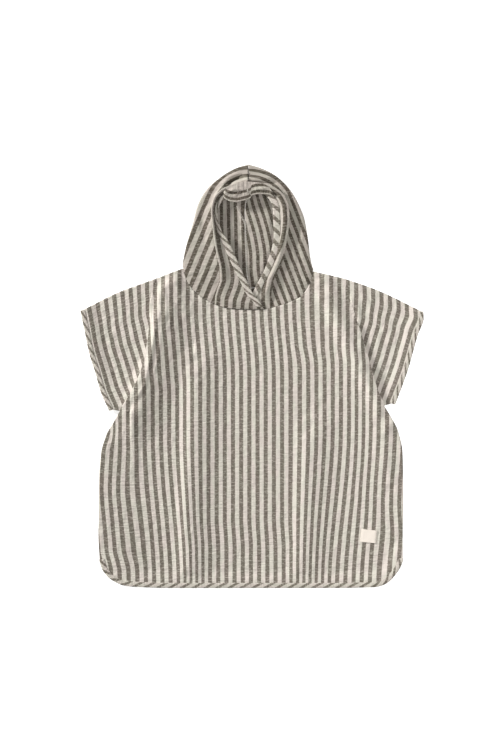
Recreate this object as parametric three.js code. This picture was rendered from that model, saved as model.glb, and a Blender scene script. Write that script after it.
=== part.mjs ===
// A child's hooded bath poncho in striped crinkle cotton, laid flat with its face up.
// Millimetres, +X to the viewer's right, +Y towards the hood, +Z up from the surface that it lies on.
// The origin lies under the middle of the garment's outline.
// The front and the back are one piece each with short sleeves cut on. They meet at the shoulders,
// under the arms and down the sides. The hood has two halves, folded flat along its outline, and its
// face opening stands up as a soft rim. A folded strip of cloth binds the face opening, both cuffs
// and the hem. Every piece of cloth is a wall, and pieces that meet at a seam stand a hair apart.

import * as THREE from "three";

// Cloth
const CLOTH = 1.2;
const BINDING_CLOTH = 1.0;
const SEAM_GAP = 0.4;
const BINDING_GAP = 0.3;
const BINDING_REACH = BINDING_CLOTH + BINDING_GAP;
const BINDING_HALF = CLOTH / 2 + BINDING_REACH;

// Levels of the middle of each layer above the surface
const BACK_MID = CLOTH / 2;
const FRONT_MID = BACK_MID + CLOTH + 0.45;
const BACK_BOUND_MID = BINDING_HALF;
const FRONT_BOUND_MID = BACK_BOUND_MID + 2 * BINDING_HALF + BINDING_GAP;

// A layer climbs from its own level to its binding's level over this stretch from the bound edge
const BOUND_FLAT = 11;
const BOUND_RAMP = 32;

const HEM_BINDING_WIDTH = 8.3;
const CUFF_BINDING_WIDTH = 7.4;
const HOOD_BINDING_WIDTH = 11;

// Tuck where the body lies over each sleeve
const TUCK_RADIUS = 0.85;
const TUCK_SHORTEST_ARC = 2;
const TUCK_ARC_STEPS = 4;
const TUCK_DEPTH = 10;
const TUCK_START = 0.11;
const TUCK_CLOSED = 0.2;
const ARMPIT = 0.42;
const TUCK_FADE_ACROSS = 70;
const TUCK_FADE_DOWN = 0.16;

// Share of the body's edge over which its direction is measured
const EDGE_STEP = 0.01;

// Edge of the body, from the shoulder down the tuck and the side seam to the hem's corner.
// The column down runs from 0 at the shoulder to 1 in the middle of the rounded corner.
const BODY_EDGE = [
  { down: 0.0, leftX: -170, leftY: 182.3, rightX: 170, rightY: 181 },
  { down: 0.11, leftX: -182.6, leftY: 129.6, rightX: 186, rightY: 122.3 },
  { down: 0.17, leftX: -183.5, leftY: 97, rightX: 196, rightY: 90 },
  { down: 0.27, leftX: -192, leftY: 37.5, rightX: 212, rightY: 38 },
  { down: 0.33, leftX: -202, leftY: 5, rightX: 221, rightY: 7 },
  { down: 0.38, leftX: -217, leftY: -27, rightX: 231, rightY: -25.3 },
  { down: 0.42, leftX: -238.4, leftY: -60.3, rightX: 243.4, rightY: -52.9 },
  { down: 0.46, leftX: -251, leftY: -84, rightX: 256, rightY: -75 },
  { down: 0.5, leftX: -264, leftY: -106, rightX: 269, rightY: -100 },
  { down: 0.55, leftX: -274, leftY: -140, rightX: 277.5, rightY: -138 },
  { down: 0.62, leftX: -278, leftY: -180, rightX: 279, rightY: -178 },
  { down: 0.72, leftX: -279.5, leftY: -243, rightX: 280, rightY: -236 },
  { down: 0.82, leftX: -280.5, leftY: -290, rightX: 279.5, rightY: -288 },
  { down: 0.91, leftX: -278.5, leftY: -338, rightX: 279.5, rightY: -336 },
  { down: 0.955, leftX: -274, leftY: -354.5, rightX: 274.5, rightY: -352 },
  { down: 1.0, leftX: -264.5, leftY: -368, rightX: 265.5, rightY: -365.5 },
];
const HEM_CORNER_START = 0.91;

// Point that lies on the cloth's side of the whole bound hem
const HEM_INSIDE = { x: 0, y: -200 };

// Hem, cut 1.3 mm short of the outline so that the binding reaches it
const HEM_EDGE = [
  { x: -264.5, y: -368 },
  { x: -257, y: -374.3 },
  { x: -238, y: -383.6 },
  { x: -219, y: -386.7 },
  { x: -150, y: -389.2 },
  { x: 0, y: -389.2 },
  { x: 150, y: -389.2 },
  { x: 229, y: -387.6 },
  { x: 240, y: -385.3 },
  { x: 254, y: -378 },
  { x: 265.5, y: -365.5 },
];

// Neck seam on the front and on the back, from the left neck point to the right one
const NECK_LEFT = { x: -126.5, y: 199 };
const NECK_RIGHT = { x: 115.5, y: 193.5 };
const FRONT_NECK = [
  NECK_LEFT,
  { x: -116, y: 172 },
  { x: -101, y: 154 },
  { x: -83, y: 141 },
  { x: -60.5, y: 130 },
  { x: -34, y: 124 },
  { x: 0, y: 122.8 },
  { x: 27, y: 124 },
  { x: 51, y: 130 },
  { x: 71, y: 137 },
  { x: 91.5, y: 147 },
  { x: 105, y: 165 },
  NECK_RIGHT,
];
const BACK_NECK = [
  NECK_LEFT,
  { x: -100, y: 184 },
  { x: -60, y: 170 },
  { x: -4, y: 163 },
  { x: 50, y: 169 },
  { x: 90, y: 181 },
  NECK_RIGHT,
];

// Shoulder from the neck point to the cuff, and the underarm, both from the body outwards
const LEFT_SHOULDER = [
  { x: -170, y: 182.3 },
  { x: -210, y: 168 },
  { x: -246, y: 154.5 },
  { x: -304, y: 130 },
];
const RIGHT_SHOULDER = [
  { x: 170, y: 181 },
  { x: 209.5, y: 168 },
  { x: 245, y: 154 },
  { x: 307, y: 130.5 },
];

// Cuff, cut short of the outline by the binding's reach, from the shoulder to the underarm
const LEFT_CUFF = [
  { along: 0, x: -313.5, y: 120.5 },
  { along: 0.22, x: -305.5, y: 82 },
  { along: 0.44, x: -297.5, y: 43 },
  { along: 0.64, x: -286.5, y: 8 },
  { along: 0.84, x: -275.5, y: -30 },
  { along: 1, x: -262, y: -60.5 },
];
const RIGHT_CUFF = [
  { along: 0, x: 317, y: 118.5 },
  { along: 0.08, x: 317.3, y: 107 },
  { along: 0.26, x: 306.5, y: 76 },
  { along: 0.43, x: 298, y: 46 },
  { along: 0.61, x: 289, y: 14 },
  { along: 0.78, x: 278.5, y: -16 },
  { along: 1, x: 266, y: -48.5 },
];

// Rows down the body and columns across it. A column runs from the neck or shoulder to the hem.
const ROWS_TO_ARMPIT = [0, 0.04, 0.08, 0.11, 0.13, 0.15, 0.175, 0.2, 0.24, 0.29, 0.34, 0.38, 0.405, 0.42];
const ROWS_BELOW = [
  0.445, 0.475, 0.51, 0.55, 0.61, 0.68, 0.76, 0.83, 0.87, 0.895, 0.91, 0.935, 0.96, 0.98, 1,
];
const FRONT_COLUMNS = [
  { top: -170, hem: -264.5 },
  { top: -148, hem: -253 },
  { top: -126.5, hem: -236 },
  { top: -119, hem: -212 },
  { top: -110, hem: -184 },
  { top: -98, hem: -160 },
  { top: -84, hem: -141 },
  { top: -68, hem: -125 },
  { top: -52, hem: -109 },
  { top: -34, hem: -70 },
  { top: 0, hem: 0 },
  { top: 27, hem: 52 },
  { top: 48, hem: 94 },
  { top: 62, hem: 111 },
  { top: 76, hem: 128 },
  { top: 91.5, hem: 160 },
  { top: 104, hem: 200 },
  { top: 115.5, hem: 234 },
  { top: 142, hem: 252 },
  { top: 170, hem: 265.5 },
];
const BACK_ROWS = [
  0, 0.11, 0.24, 0.34, 0.42, 0.475, 0.55, 0.68, 0.83, 0.87, 0.895, 0.91, 0.935, 0.96, 0.98, 1,
];
const BACK_ARMPIT_ROWS = 5;
const BACK_COLUMNS = [
  { top: -170, hem: -264.5 },
  { top: -148, hem: -253 },
  { top: -126.5, hem: -236 },
  { top: -96, hem: -184 },
  { top: -50, hem: -94 },
  { top: 0, hem: 0 },
  { top: 46, hem: 94 },
  { top: 88, hem: 176 },
  { top: 115.5, hem: 234 },
  { top: 142, hem: 252 },
  { top: 170, hem: 265.5 },
];
const SLEEVE_STEPS = [0.12, 0.3, 0.5, 0.66, 0.78, 0.87, 0.925, 1];
const BACK_SLEEVE_STEPS = [0.5, 0.66, 0.78, 0.87, 0.925, 1];

// Soft folds of the front, each a line of points with its height and half its width
const BODY_FOLDS = [
  { height: 3.2, half: 17, line: [[-135, -44], [-122, -117], [-133, -250], [-125, -376]] },
  { height: 2.6, half: 17, line: [[127, -215], [119, -300], [111, -376]] },
  { height: 2.2, half: 30, line: [[-25, 60], [-15, -60], [-30, -190]] },
  { height: 2.4, half: 26, line: [[236, -86], [246, -130], [250, -185]] },
];
const FOLD_FADE_END = 45;

// The front's neck edge climbs where the hood's two ends cross
const NECK_LIFT = 0.9;
const NECK_LIFT_MIDDLE = -5;
const NECK_LIFT_HALF = 62;

// Hood halves. Each row across a half starts at the seam down the middle of the hood's back, lies on the
// surface, rolls over at the outline, climbs to the rim's ridge and drops to the face opening's edge.
const HOOD_LEFT = named(["up", "backX", "backY", "outX", "outY", "ridgeX", "ridgeY", "edgeX", "edgeY"], [
  [0, -4, 163, -125.8, 201.5, -66, 132.4, 24, 123.8],
  [0.05, -5, 171, -125, 210, -65, 146, 14, 139],
  [0.1, -6, 180, -123.5, 219, -61, 159, 2, 154],
  [0.2, -8, 197, -119, 240, -54.5, 180, -8, 174],
  [0.3, -8.5, 215, -112.5, 263, -56, 200, -20, 199],
  [0.4, -9, 233, -105.5, 287, -61, 222, -31, 224],
  [0.5, -9.5, 252, -100, 309, -66, 250, -42, 247.6],
  [0.6, -10, 270, -91, 330, -69.5, 277, -54, 272],
  [0.7, -10.5, 287, -78, 348.5, -72, 304, -60, 296],
  [0.78, -11, 300, -62, 362, -68, 325, -56, 314],
  [0.86, -10, 314, -42, 376, -53, 343, -44, 331],
  [0.93, -8, 325, -22, 385.5, -31, 356, -25, 341],
  [1, -6, 334, -5, 390.5, -5, 364, -5, 345],
]);
const HOOD_RIGHT = named(["up", "backX", "backY", "outX", "outY", "ridgeX", "ridgeY", "edgeX", "edgeY"], [
  [0, -4, 163, 115, 196, 30, 124.6, -24, 123.4],
  [0.05, -5, 171, 112.5, 203, 29, 138, -10, 139],
  [0.1, -6, 180, 110.5, 211, 29, 152, 3, 154],
  [0.2, -8, 197, 107.5, 229, 33, 175, 13, 172],
  [0.3, -8.5, 215, 105.3, 248, 42, 195, 24, 192],
  [0.4, -9, 233, 102, 270, 51, 217, 33, 216],
  [0.5, -9.5, 252, 97.5, 292, 56, 241, 40, 238],
  [0.6, -10, 270, 87, 318, 60, 264, 43, 262],
  [0.7, -10.5, 287, 73, 342, 62.5, 289, 42, 287],
  [0.78, -11, 300, 58, 359, 61, 311, 41, 309],
  [0.86, -10, 314, 38, 374.5, 51, 334, 33, 328],
  [0.93, -8, 325, 16, 384.5, 28, 353, 16, 340],
  [1, -6, 334, -5, 390.5, -5, 364, -5, 345],
]);

// Heights up each half: the roll's radius at the outline, the rim's ridge and the opening's edge
const HOOD_HEIGHTS = named(["up", "roll", "leftRidge", "leftEdge", "rightRidge", "rightEdge"], [
  [0, 0.83, 2.4, 4.4, 2.5, 2.5],
  [0.05, 1.3, 5, 7.8, 3.8, 3.5],
  [0.1, 1.8, 8, 7.9, 7, 3.7],
  [0.2, 2.4, 12, 8, 11, 6],
  [0.4, 3, 16, 9.5, 15, 9.5],
  [0.7, 3.2, 18, 11, 17, 11],
  [0.86, 3.2, 17, 11.5, 16, 11.5],
  [1, 3.2, 16, 11.5, 16, 11.5],
]);
const HOOD_ROWS = [0, 0.04, 0.08, 0.13, 0.2, 0.28, 0.36, 0.44, 0.52, 0.6, 0.68, 0.75, 0.82, 0.88, 0.94, 1];
const HOOD_BACK_STEPS = 5;
const HOOD_ROLL_STEPS = 4;
const HOOD_CLIMB_STEPS = 6;
const HOOD_DROP_STEPS = [0, 0.15, 0.3, 0.45, 0.72, 1];
const HOOD_DROP_LEVELS_AT = 0.45;
const HOOD_CROWN_FROM = 0.9;
const HOOD_OUT_STEP = 0.02;
const RIGHT_BINDING_FROM = 0.07;

// Columns between the hood binding's inner side and the face opening's edge
const BINDING_COLUMNS = 2;
const CUFF_TURN_STEPS = 4;

// The crown's spare cloth lies inside the hood as a soft step above its back
const CROWN_STEP_HEIGHT = 4.5;
const CROWN_STEP_FROM = 312;
const CROWN_STEP_TO = 330;
const CROWN_STEP_FADE_FROM = 0.5;

// Label on the front, near the lower right corner
const LABEL = { x: 217, y: -295, width: 29, height: 23.5, thick: 1, turn: -6 };
const LABEL_LIFT = 0.35;

const COLOURS = { cloth: 0xb0a89d, hood: 0xaaa297, binding: 0x9c9488, label: 0xefe6dc };

// Rows of a table with their columns named
function named(columns, rows) {
  return rows.map((row) => Object.fromEntries(row.map((value, i) => [columns[i], value])));
}

function smooth(value) {
  const x = Math.min(1, Math.max(0, value));
  return x * x * (3 - 2 * x);
}

function mix(from, to, share) {
  return from + (to - from) * share;
}

// Value of a column of a table at a place between its rows, on a smooth curve without overshoot
function tableValue(rows, key, column, at) {
  const last = rows.length - 1;
  const span = (i) => rows[i + 1][key] - rows[i][key];
  const slope = (i) => (rows[i + 1][column] - rows[i][column]) / span(i);
  const tangent = (i) => {
    if (i === 0) return slope(0);
    if (i === last) return slope(last - 1);
    const before = slope(i - 1);
    const after = slope(i);
    return before * after <= 0 ? 0 : (2 * before * after) / (before + after);
  };
  const rising = rows[last][key] > rows[0][key];
  let i = 0;
  while (i < last - 1 && (rising ? at > rows[i + 1][key] : at < rows[i + 1][key])) i += 1;
  const share = Math.min(1, Math.max(0, (at - rows[i][key]) / span(i)));
  const square = share * share;
  const cube = square * share;
  return (
    (2 * cube - 3 * square + 1) * rows[i][column] +
    (cube - 2 * square + share) * span(i) * tangent(i) +
    (3 * square - 2 * cube) * rows[i + 1][column] +
    (cube - square) * span(i) * tangent(i + 1)
  );
}

function lineY(rows, x) {
  return tableValue(rows, "x", "y", x);
}

function straightY(from, to, x) {
  return mix(from.y, to.y, (x - from.x) / (to.x - from.x));
}

// Neck seam as the straight stitches between a panel's columns, and the hood's edge a seam's gap above it
function neckSeam(neck, columns) {
  const tops = columns.map(({ top }) => top).filter((x) => x >= NECK_LEFT.x && x <= NECK_RIGHT.x);
  const points = tops.map((x) => ({ x, y: lineY(neck, x) }));
  const along = (x) => {
    let i = 0;
    while (i < points.length - 2 && x > points[i + 1].x) i += 1;
    const [from, to] = [points[i], points[i + 1]];
    const slope = (to.y - from.y) / (to.x - from.x);
    return { y: from.y + slope * (x - from.x), slope };
  };
  return {
    panel: (x) => along(x).y,
    hood: (x) => along(x).y + SEAM_GAP * Math.hypot(1, along(x).slope),
  };
}

function distanceToLine(line, x, y) {
  let nearest = Infinity;
  for (let i = 0; i + 1 < line.length; i += 1) {
    const [ax, ay] = line[i];
    const [bx, by] = line[i + 1];
    const lengthSquared = (bx - ax) ** 2 + (by - ay) ** 2;
    const share = Math.min(1, Math.max(0, ((x - ax) * (bx - ax) + (y - ay) * (by - ay)) / lengthSquared));
    nearest = Math.min(nearest, Math.hypot(x - mix(ax, bx, share), y - mix(ay, by, share)));
  }
  return nearest;
}

// Points in plan inside four edges: near and far run across, start and end run along
function blend(near, far, start, end) {
  const corners = [start(0), end(0), start(1), end(1)];
  return (across, along) => [0, 1].map((axis) =>
    mix(near(across)[axis], far(across)[axis], along) +
    mix(start(along)[axis], end(along)[axis], across) -
    mix(
      mix(corners[0][axis], corners[1][axis], across),
      mix(corners[2][axis], corners[3][axis], across),
      along,
    ));
}

// Closed wall of the given thickness about a grid of points, where a null cell has no cloth
function wall(grid, thickness) {
  const points = [];
  const index = grid.map((row) => row.map((point) => (point ? points.push(point) - 1 : -1)));
  const faces = [];
  for (let r = 0; r + 1 < grid.length; r += 1) {
    for (let c = 0; c + 1 < grid[r].length; c += 1) {
      const [a, b, d, e] = [index[r][c], index[r][c + 1], index[r + 1][c + 1], index[r + 1][c]];
      if (Math.min(a, b, d, e) < 0) continue;
      const shortFirst = points[a].distanceTo(points[d]) < points[b].distanceTo(points[e]);
      faces.push(...(shortFirst ? [[a, b, d], [a, d, e]] : [[a, b, e], [b, d, e]]));
    }
  }
  const normals = points.map(() => new THREE.Vector3());
  for (const [a, b, c] of faces) {
    const side = points[b].clone().sub(points[a]);
    const normal = side.cross(points[c].clone().sub(points[a]));
    for (const corner of [a, b, c]) normals[corner].add(normal);
  }
  const count = points.length;
  const moved = (share) => points.map((point, i) =>
    point.clone().addScaledVector(normals[i].clone().normalize(), share * thickness));
  const used = new Map();
  const triangles = [];
  for (const [a, b, c] of faces) {
    triangles.push([a, b, c], [a + count, c + count, b + count]);
    for (const [from, to] of [[a, b], [b, c], [c, a]]) used.set(`${from},${to}`, [from, to]);
  }
  for (const [from, to] of used.values()) {
    if (used.has(`${to},${from}`)) continue;
    triangles.push([to, from, from + count], [to, from + count, to + count]);
  }
  return solid([...moved(0.5), ...moved(-0.5)], triangles);
}

// Geometry with its faces turned outwards
function solid(points, triangles) {
  let volume = 0;
  for (const [a, b, c] of triangles) volume += points[a].dot(points[b].clone().cross(points[c]));
  const ordered = volume < 0 ? triangles.map(([a, b, c]) => [a, c, b]) : triangles;
  const geometry = new THREE.BufferGeometry();
  geometry.setAttribute("position", new THREE.Float32BufferAttribute(points.flatMap((p) => p.toArray()), 3));
  geometry.setIndex(ordered.flat());
  geometry.computeVertexNormals();
  return geometry;
}

// Folded strip round an edge of cloth. A station has the edge point, a point further in and the
// cloth's normal at each, and the strip has a leg on both sides of the cloth.
function binding(stations, closed) {
  const near = CLOTH / 2 + BINDING_GAP;
  const sections = stations.map(({ edge, inner, edgeNormal, innerNormal }) => {
    const out = edge.clone().sub(inner).normalize();
    const at = (base, normal, height, reach) =>
      base.clone().addScaledVector(normal, height).addScaledVector(out, reach);
    return [
      at(inner, innerNormal, near, 0),
      at(edge, edgeNormal, near, BINDING_GAP),
      at(edge, edgeNormal, -near, BINDING_GAP),
      at(inner, innerNormal, -near, 0),
      at(inner, innerNormal, -BINDING_HALF, 0),
      at(edge, edgeNormal, -BINDING_HALF, 0),
      at(edge, edgeNormal, -near, BINDING_REACH),
      at(edge, edgeNormal, near, BINDING_REACH),
      at(edge, edgeNormal, BINDING_HALF, 0),
      at(inner, innerNormal, BINDING_HALF, 0),
    ];
  });
  const size = sections[0].length;
  const triangles = [];
  const loops = closed ? sections.length : sections.length - 1;
  for (let s = 0; s < loops; s += 1) {
    const next = (s + 1) % sections.length;
    for (let k = 0; k < size; k += 1) {
      const following = (k + 1) % size;
      const [a, b] = [s * size + k, s * size + following];
      const [c, d] = [next * size + following, next * size + k];
      triangles.push([a, b, c], [a, c, d]);
    }
  }
  if (!closed) {
    const cap = [[9, 0, 8], [0, 1, 8], [1, 7, 8], [1, 2, 7], [2, 6, 7], [2, 5, 6], [2, 3, 5], [3, 4, 5]];
    const end = (sections.length - 1) * size;
    for (const [a, b, c] of cap) triangles.push([a, c, b], [a + end, b + end, c + end]);
  }
  return solid(sections.flat(), triangles);
}

// Section of the tuck, as steps outwards and down from the body's edge to the start of the sleeve
function tuckSection(down) {
  const turn = Math.PI * smooth((down - TUCK_START) / (TUCK_CLOSED - TUCK_START));
  const depth = mix(1, TUCK_DEPTH, smooth((down - TUCK_CLOSED) / (ARMPIT - TUCK_CLOSED)));
  const arcStep = Math.max(TUCK_RADIUS * turn, TUCK_SHORTEST_ARC) / TUCK_ARC_STEPS;
  const path = [];
  let [out, z] = [0, 0];
  const walk = (heading, step) => {
    out += Math.cos(heading) * step;
    z -= Math.sin(heading) * step;
    path.push({ out, z });
  };
  for (let i = 0; i < TUCK_ARC_STEPS; i += 1) walk((turn * (i + 0.5)) / TUCK_ARC_STEPS, arcStep);
  walk(turn, depth);
  for (let i = 0; i < TUCK_ARC_STEPS; i += 1) walk(turn * (1 - (i + 0.5) / TUCK_ARC_STEPS), arcStep);
  return { path, reach: Math.max(...path.map((step) => step.out)), drop: -z };
}

// Height of the tuck's top layer above the sleeve, which fades out below the armpit
function tuckLift(down) {
  const fade = 1 - smooth((down - ARMPIT) / TUCK_FADE_DOWN);
  return tuckSection(Math.min(down, ARMPIT)).drop * fade;
}

function bodyEdge(side, down) {
  return [tableValue(BODY_EDGE, "down", `${side}X`, down), tableValue(BODY_EDGE, "down", `${side}Y`, down)];
}

// Direction in plan that the tuck's section follows at one place down the body's edge
function tuckDirection(side, down) {
  const sign = side === "left" ? -1 : 1;
  const place = Math.min(down, ARMPIT - EDGE_STEP);
  const [ax, ay] = bodyEdge(side, place - EDGE_STEP);
  const [bx, by] = bodyEdge(side, place + EDGE_STEP);
  const across = new THREE.Vector2(-sign * (by - ay), sign * (bx - ax)).normalize();
  const shoulder = side === "left" ? LEFT_SHOULDER : RIGHT_SHOULDER;
  const along = new THREE.Vector2(shoulder[1].x - shoulder[0].x, shoulder[1].y - shoulder[0].y).normalize();
  return along.lerp(across, smooth(down / TUCK_START)).normalize();
}

// Line of the bound hem, from one corner's start to the other
function hemLine() {
  const corner = (side) => [1, 0.98, 0.955, 0.93, HEM_CORNER_START].map((down) => bodyEdge(side, down));
  const middle = HEM_EDGE.slice(1, -1).map(({ x, y }) => [x, y]);
  return [...corner("left").reverse(), ...middle, ...corner("right")];
}

const HEM_LINE = hemLine();
const CUFF_LINES = [LEFT_CUFF, RIGHT_CUFF].map((cuff) => cuff.map(({ x, y }) => [x, y]));

// Share from 0 on plain cloth to 1 at a bound edge
function boundShare(x, y) {
  const distance = Math.min(
    distanceToLine(HEM_LINE, x, y),
    distanceToLine(CUFF_LINES[0], x, y),
    distanceToLine(CUFF_LINES[1], x, y),
  );
  return smooth((BOUND_RAMP - distance) / (BOUND_RAMP - BOUND_FLAT));
}

function foldHeight(x, y) {
  let height = 0;
  for (const fold of BODY_FOLDS) {
    const endY = fold.line[0][1];
    const nearEnd = smooth((endY + FOLD_FADE_END - y) / FOLD_FADE_END);
    height += fold.height * smooth(1 - distanceToLine(fold.line, x, y) / fold.half) * nearEnd;
  }
  return height;
}

function frontHeight(x, y) {
  const bound = boundShare(x, y);
  const crossing = smooth(1 - Math.hypot(x - NECK_LIFT_MIDDLE, y - lineY(FRONT_NECK, 0)) / NECK_LIFT_HALF);
  return mix(FRONT_MID + foldHeight(x, y), FRONT_BOUND_MID, bound) + NECK_LIFT * crossing;
}

function backHeight(x, y) {
  return mix(BACK_MID, BACK_BOUND_MID, boundShare(x, y));
}

// Place in plan of the body's grid, with its upper edge along the shoulders and the neck seam
function bodyPlan(columns, neck, inset) {
  const last = columns.length - 1;
  const upper = (x) => {
    if (x < NECK_LEFT.x) return [x, straightY(LEFT_SHOULDER[0], NECK_LEFT, x)];
    if (x > NECK_RIGHT.x) return [x, straightY(NECK_RIGHT, RIGHT_SHOULDER[0], x)];
    return [x, neck.panel(x)];
  };
  const at = (across, key) => {
    const place = Math.min(last - 1, Math.floor(across * last));
    return mix(columns[place][key], columns[place + 1][key], across * last - place);
  };
  const edge = (side) => (down) => {
    const [x, y] = bodyEdge(side, down);
    const direction = tuckDirection(side, down);
    return [x - direction.x * inset(down), y - direction.y * inset(down)];
  };
  const hem = (across) => {
    const x = at(across, "hem");
    return [x, lineY(HEM_EDGE, x)];
  };
  return blend((across) => upper(at(across, "top")), hem, edge("left"), edge("right"));
}

// Place in plan of a sleeve's grid, from the body outwards and from the shoulder to the underarm
function sleevePlan(side, start) {
  const shoulder = side === "left" ? LEFT_SHOULDER : RIGHT_SHOULDER;
  const cuff = side === "left" ? LEFT_CUFF : RIGHT_CUFF;
  const tip = { x: cuff[0].x, y: cuff[0].y };
  const top = [...shoulder.slice(0, -1), tip];
  const cuffPoint = (share) => [tableValue(cuff, "along", "x", share), tableValue(cuff, "along", "y", share)];
  const upper = (across) => {
    const x = mix(start(0)[0], tip.x, across);
    return [x, lineY(top, x)];
  };
  const under = (across) => [0, 1].map((axis) => mix(start(1)[axis], cuffPoint(1)[axis], across));
  return blend(upper, under, start, cuffPoint);
}

// Body and sleeves as one grid. A sleeve's columns end at the armpit.
function panelGrid({ rows, armpitRows, columns, neck, height, sleeveSteps, tucked }) {
  const inset = (down) => (tucked && down <= ARMPIT ? tuckSection(down).reach : 0);
  const plan = bodyPlan(columns, neck, inset);
  const last = columns.length - 1;
  const sleeves = ["left", "right"].map((side) => {
    const start = (share) => {
      const down = share * ARMPIT;
      const [x, y] = bodyEdge(side, down);
      const direction = tuckDirection(side, down);
      const section = tuckSection(down);
      const out = tucked ? section.path.at(-1).out - section.reach : 0;
      return [x + direction.x * out, y + direction.y * out];
    };
    return sleevePlan(side, start);
  });
  return rows.map((down, r) => {
    const lift = tucked ? tuckLift(down) : 0;
    const ends = [bodyEdge("left", down)[0], bodyEdge("right", down)[0]];
    const body = columns.map((_, c) => {
      const [x, y] = plan(c / last, down);
      const fromEdge = Math.min(x - ends[0], ends[1] - x);
      const z = height(x, y) + lift * smooth(1 - fromEdge / TUCK_FADE_ACROSS);
      return new THREE.Vector3(x, y, z);
    });
    const arms = ["left", "right"].map((side, s) => {
      const section = tucked ? tuckSection(down).path : [];
      if (r >= armpitRows) return [...section, ...sleeveSteps].map(() => null);
      const from = side === "left" ? body[0] : body[last];
      const direction = tuckDirection(side, down);
      const tuck = section.map((step) =>
        new THREE.Vector3(from.x + direction.x * step.out, from.y + direction.y * step.out, from.z + step.z));
      const sleeve = sleeveSteps.map((across) => {
        const [x, y] = sleeves[s](across, down / ARMPIT);
        return new THREE.Vector3(x, y, height(x, y));
      });
      return [...tuck, ...sleeve];
    });
    return [...arms[0].reverse(), ...body, ...arms[1]];
  });
}

const frontSeam = neckSeam(FRONT_NECK, FRONT_COLUMNS);
const backSeam = neckSeam(BACK_NECK, BACK_COLUMNS);
const frontGrid = panelGrid({
  rows: [...ROWS_TO_ARMPIT, ...ROWS_BELOW],
  armpitRows: ROWS_TO_ARMPIT.length,
  columns: FRONT_COLUMNS,
  neck: frontSeam,
  height: frontHeight,
  sleeveSteps: SLEEVE_STEPS,
  tucked: true,
});
const backGrid = panelGrid({
  rows: BACK_ROWS,
  armpitRows: BACK_ARMPIT_ROWS,
  columns: BACK_COLUMNS,
  neck: backSeam,
  height: backHeight,
  sleeveSteps: BACK_SLEEVE_STEPS,
  tucked: false,
});

// Grid of one hood half, from the seam down its back over the outline to the face opening
function hoodGrid(side) {
  const table = side === "left" ? HOOD_LEFT : HOOD_RIGHT;
  const sign = side === "left" ? -1 : 1;
  const place = (name) => (up) =>
    [tableValue(table, "up", `${name}X`, up), tableValue(table, "up", `${name}Y`, up)];
  const level = (name, up) => tableValue(HOOD_HEIGHTS, "up", name, up);
  const aside = (point) => [point[0] + (sign * SEAM_GAP) / 2, point[1]];
  const rim = (up) => {
    const [ax, ay] = place("out")(Math.max(0, up - HOOD_OUT_STEP));
    const [bx, by] = place("out")(Math.min(1, up + HOOD_OUT_STEP));
    const normal = new THREE.Vector2(sign * (by - ay), -sign * (bx - ax)).normalize();
    const crown = smooth((up - HOOD_CROWN_FROM) / (1 - HOOD_CROWN_FROM));
    return normal.lerp(new THREE.Vector2(0, 1), crown).normalize();
  };
  const seam = (neck, from, to) => (across) => {
    if (across === 0) return from;
    if (across === 1) return to;
    const x = mix(from[0], to[0], across);
    return [x, neck.hood(x)];
  };
  const inside = (up) => {
    const [x, y] = place("out")(up);
    const normal = rim(up);
    const roll = level("roll", up);
    return aside([x - normal.x * roll, y - normal.y * roll]);
  };
  const sewn = (name, neck) => (up) => {
    const [x, y] = aside(place(name)(up));
    return [x, up === 0 ? neck.hood(x) : y];
  };
  const back = sewn("back", backSeam);
  const ridge = sewn("ridge", frontSeam);
  const edge = sewn("edge", frontSeam);
  const straight = (from, to) => (across) => [0, 1].map((axis) => mix(from[axis], to[axis], across));
  const flat = blend(seam(backSeam, back(0), inside(0)), straight(back(1), inside(1)), back, inside);
  const climb = blend(seam(frontSeam, inside(0), ridge(0)), straight(inside(1), ridge(1)), inside, ridge);
  const drop = blend(seam(frontSeam, ridge(0), edge(0)), straight(ridge(1), edge(1)), ridge, edge);
  return HOOD_ROWS.map((up) => {
    const roll = level("roll", up);
    const normal = rim(up);
    const [ridgeZ, edgeZ] = [level(`${side}Ridge`, up), level(`${side}Edge`, up)];
    const row = [];
    for (let i = 0; i <= HOOD_BACK_STEPS; i += 1) {
      const [x, y] = flat(i / HOOD_BACK_STEPS, up);
      const crown = smooth((y - CROWN_STEP_FROM) / (CROWN_STEP_TO - CROWN_STEP_FROM));
      const nearRoll = 1 - smooth((i / HOOD_BACK_STEPS - CROWN_STEP_FADE_FROM) / (1 - CROWN_STEP_FADE_FROM));
      row.push(new THREE.Vector3(x, y, BACK_MID + CROWN_STEP_HEIGHT * crown * nearRoll));
    }
    const [centreX, centreY] = inside(up);
    for (let i = 1; i < HOOD_ROLL_STEPS; i += 1) {
      const angle = (Math.PI * i) / HOOD_ROLL_STEPS;
      const out = roll * Math.sin(angle);
      row.push(new THREE.Vector3(
        centreX + normal.x * out, centreY + normal.y * out, BACK_MID + roll * (1 - Math.cos(angle)),
      ));
    }
    const rollTop = BACK_MID + 2 * roll;
    for (let i = 0; i < HOOD_CLIMB_STEPS; i += 1) {
      const across = i / HOOD_CLIMB_STEPS;
      const [x, y] = climb(across, up);
      row.push(new THREE.Vector3(x, y, mix(rollTop, ridgeZ, Math.sin((across * Math.PI) / 2) ** 2)));
    }
    for (const across of HOOD_DROP_STEPS) {
      const [x, y] = drop(across, up);
      row.push(new THREE.Vector3(x, y, mix(ridgeZ, edgeZ, smooth(across / HOOD_DROP_LEVELS_AT))));
    }
    return row;
  });
}

const hoodGrids = { left: hoodGrid("left"), right: hoodGrid("right") };

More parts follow.
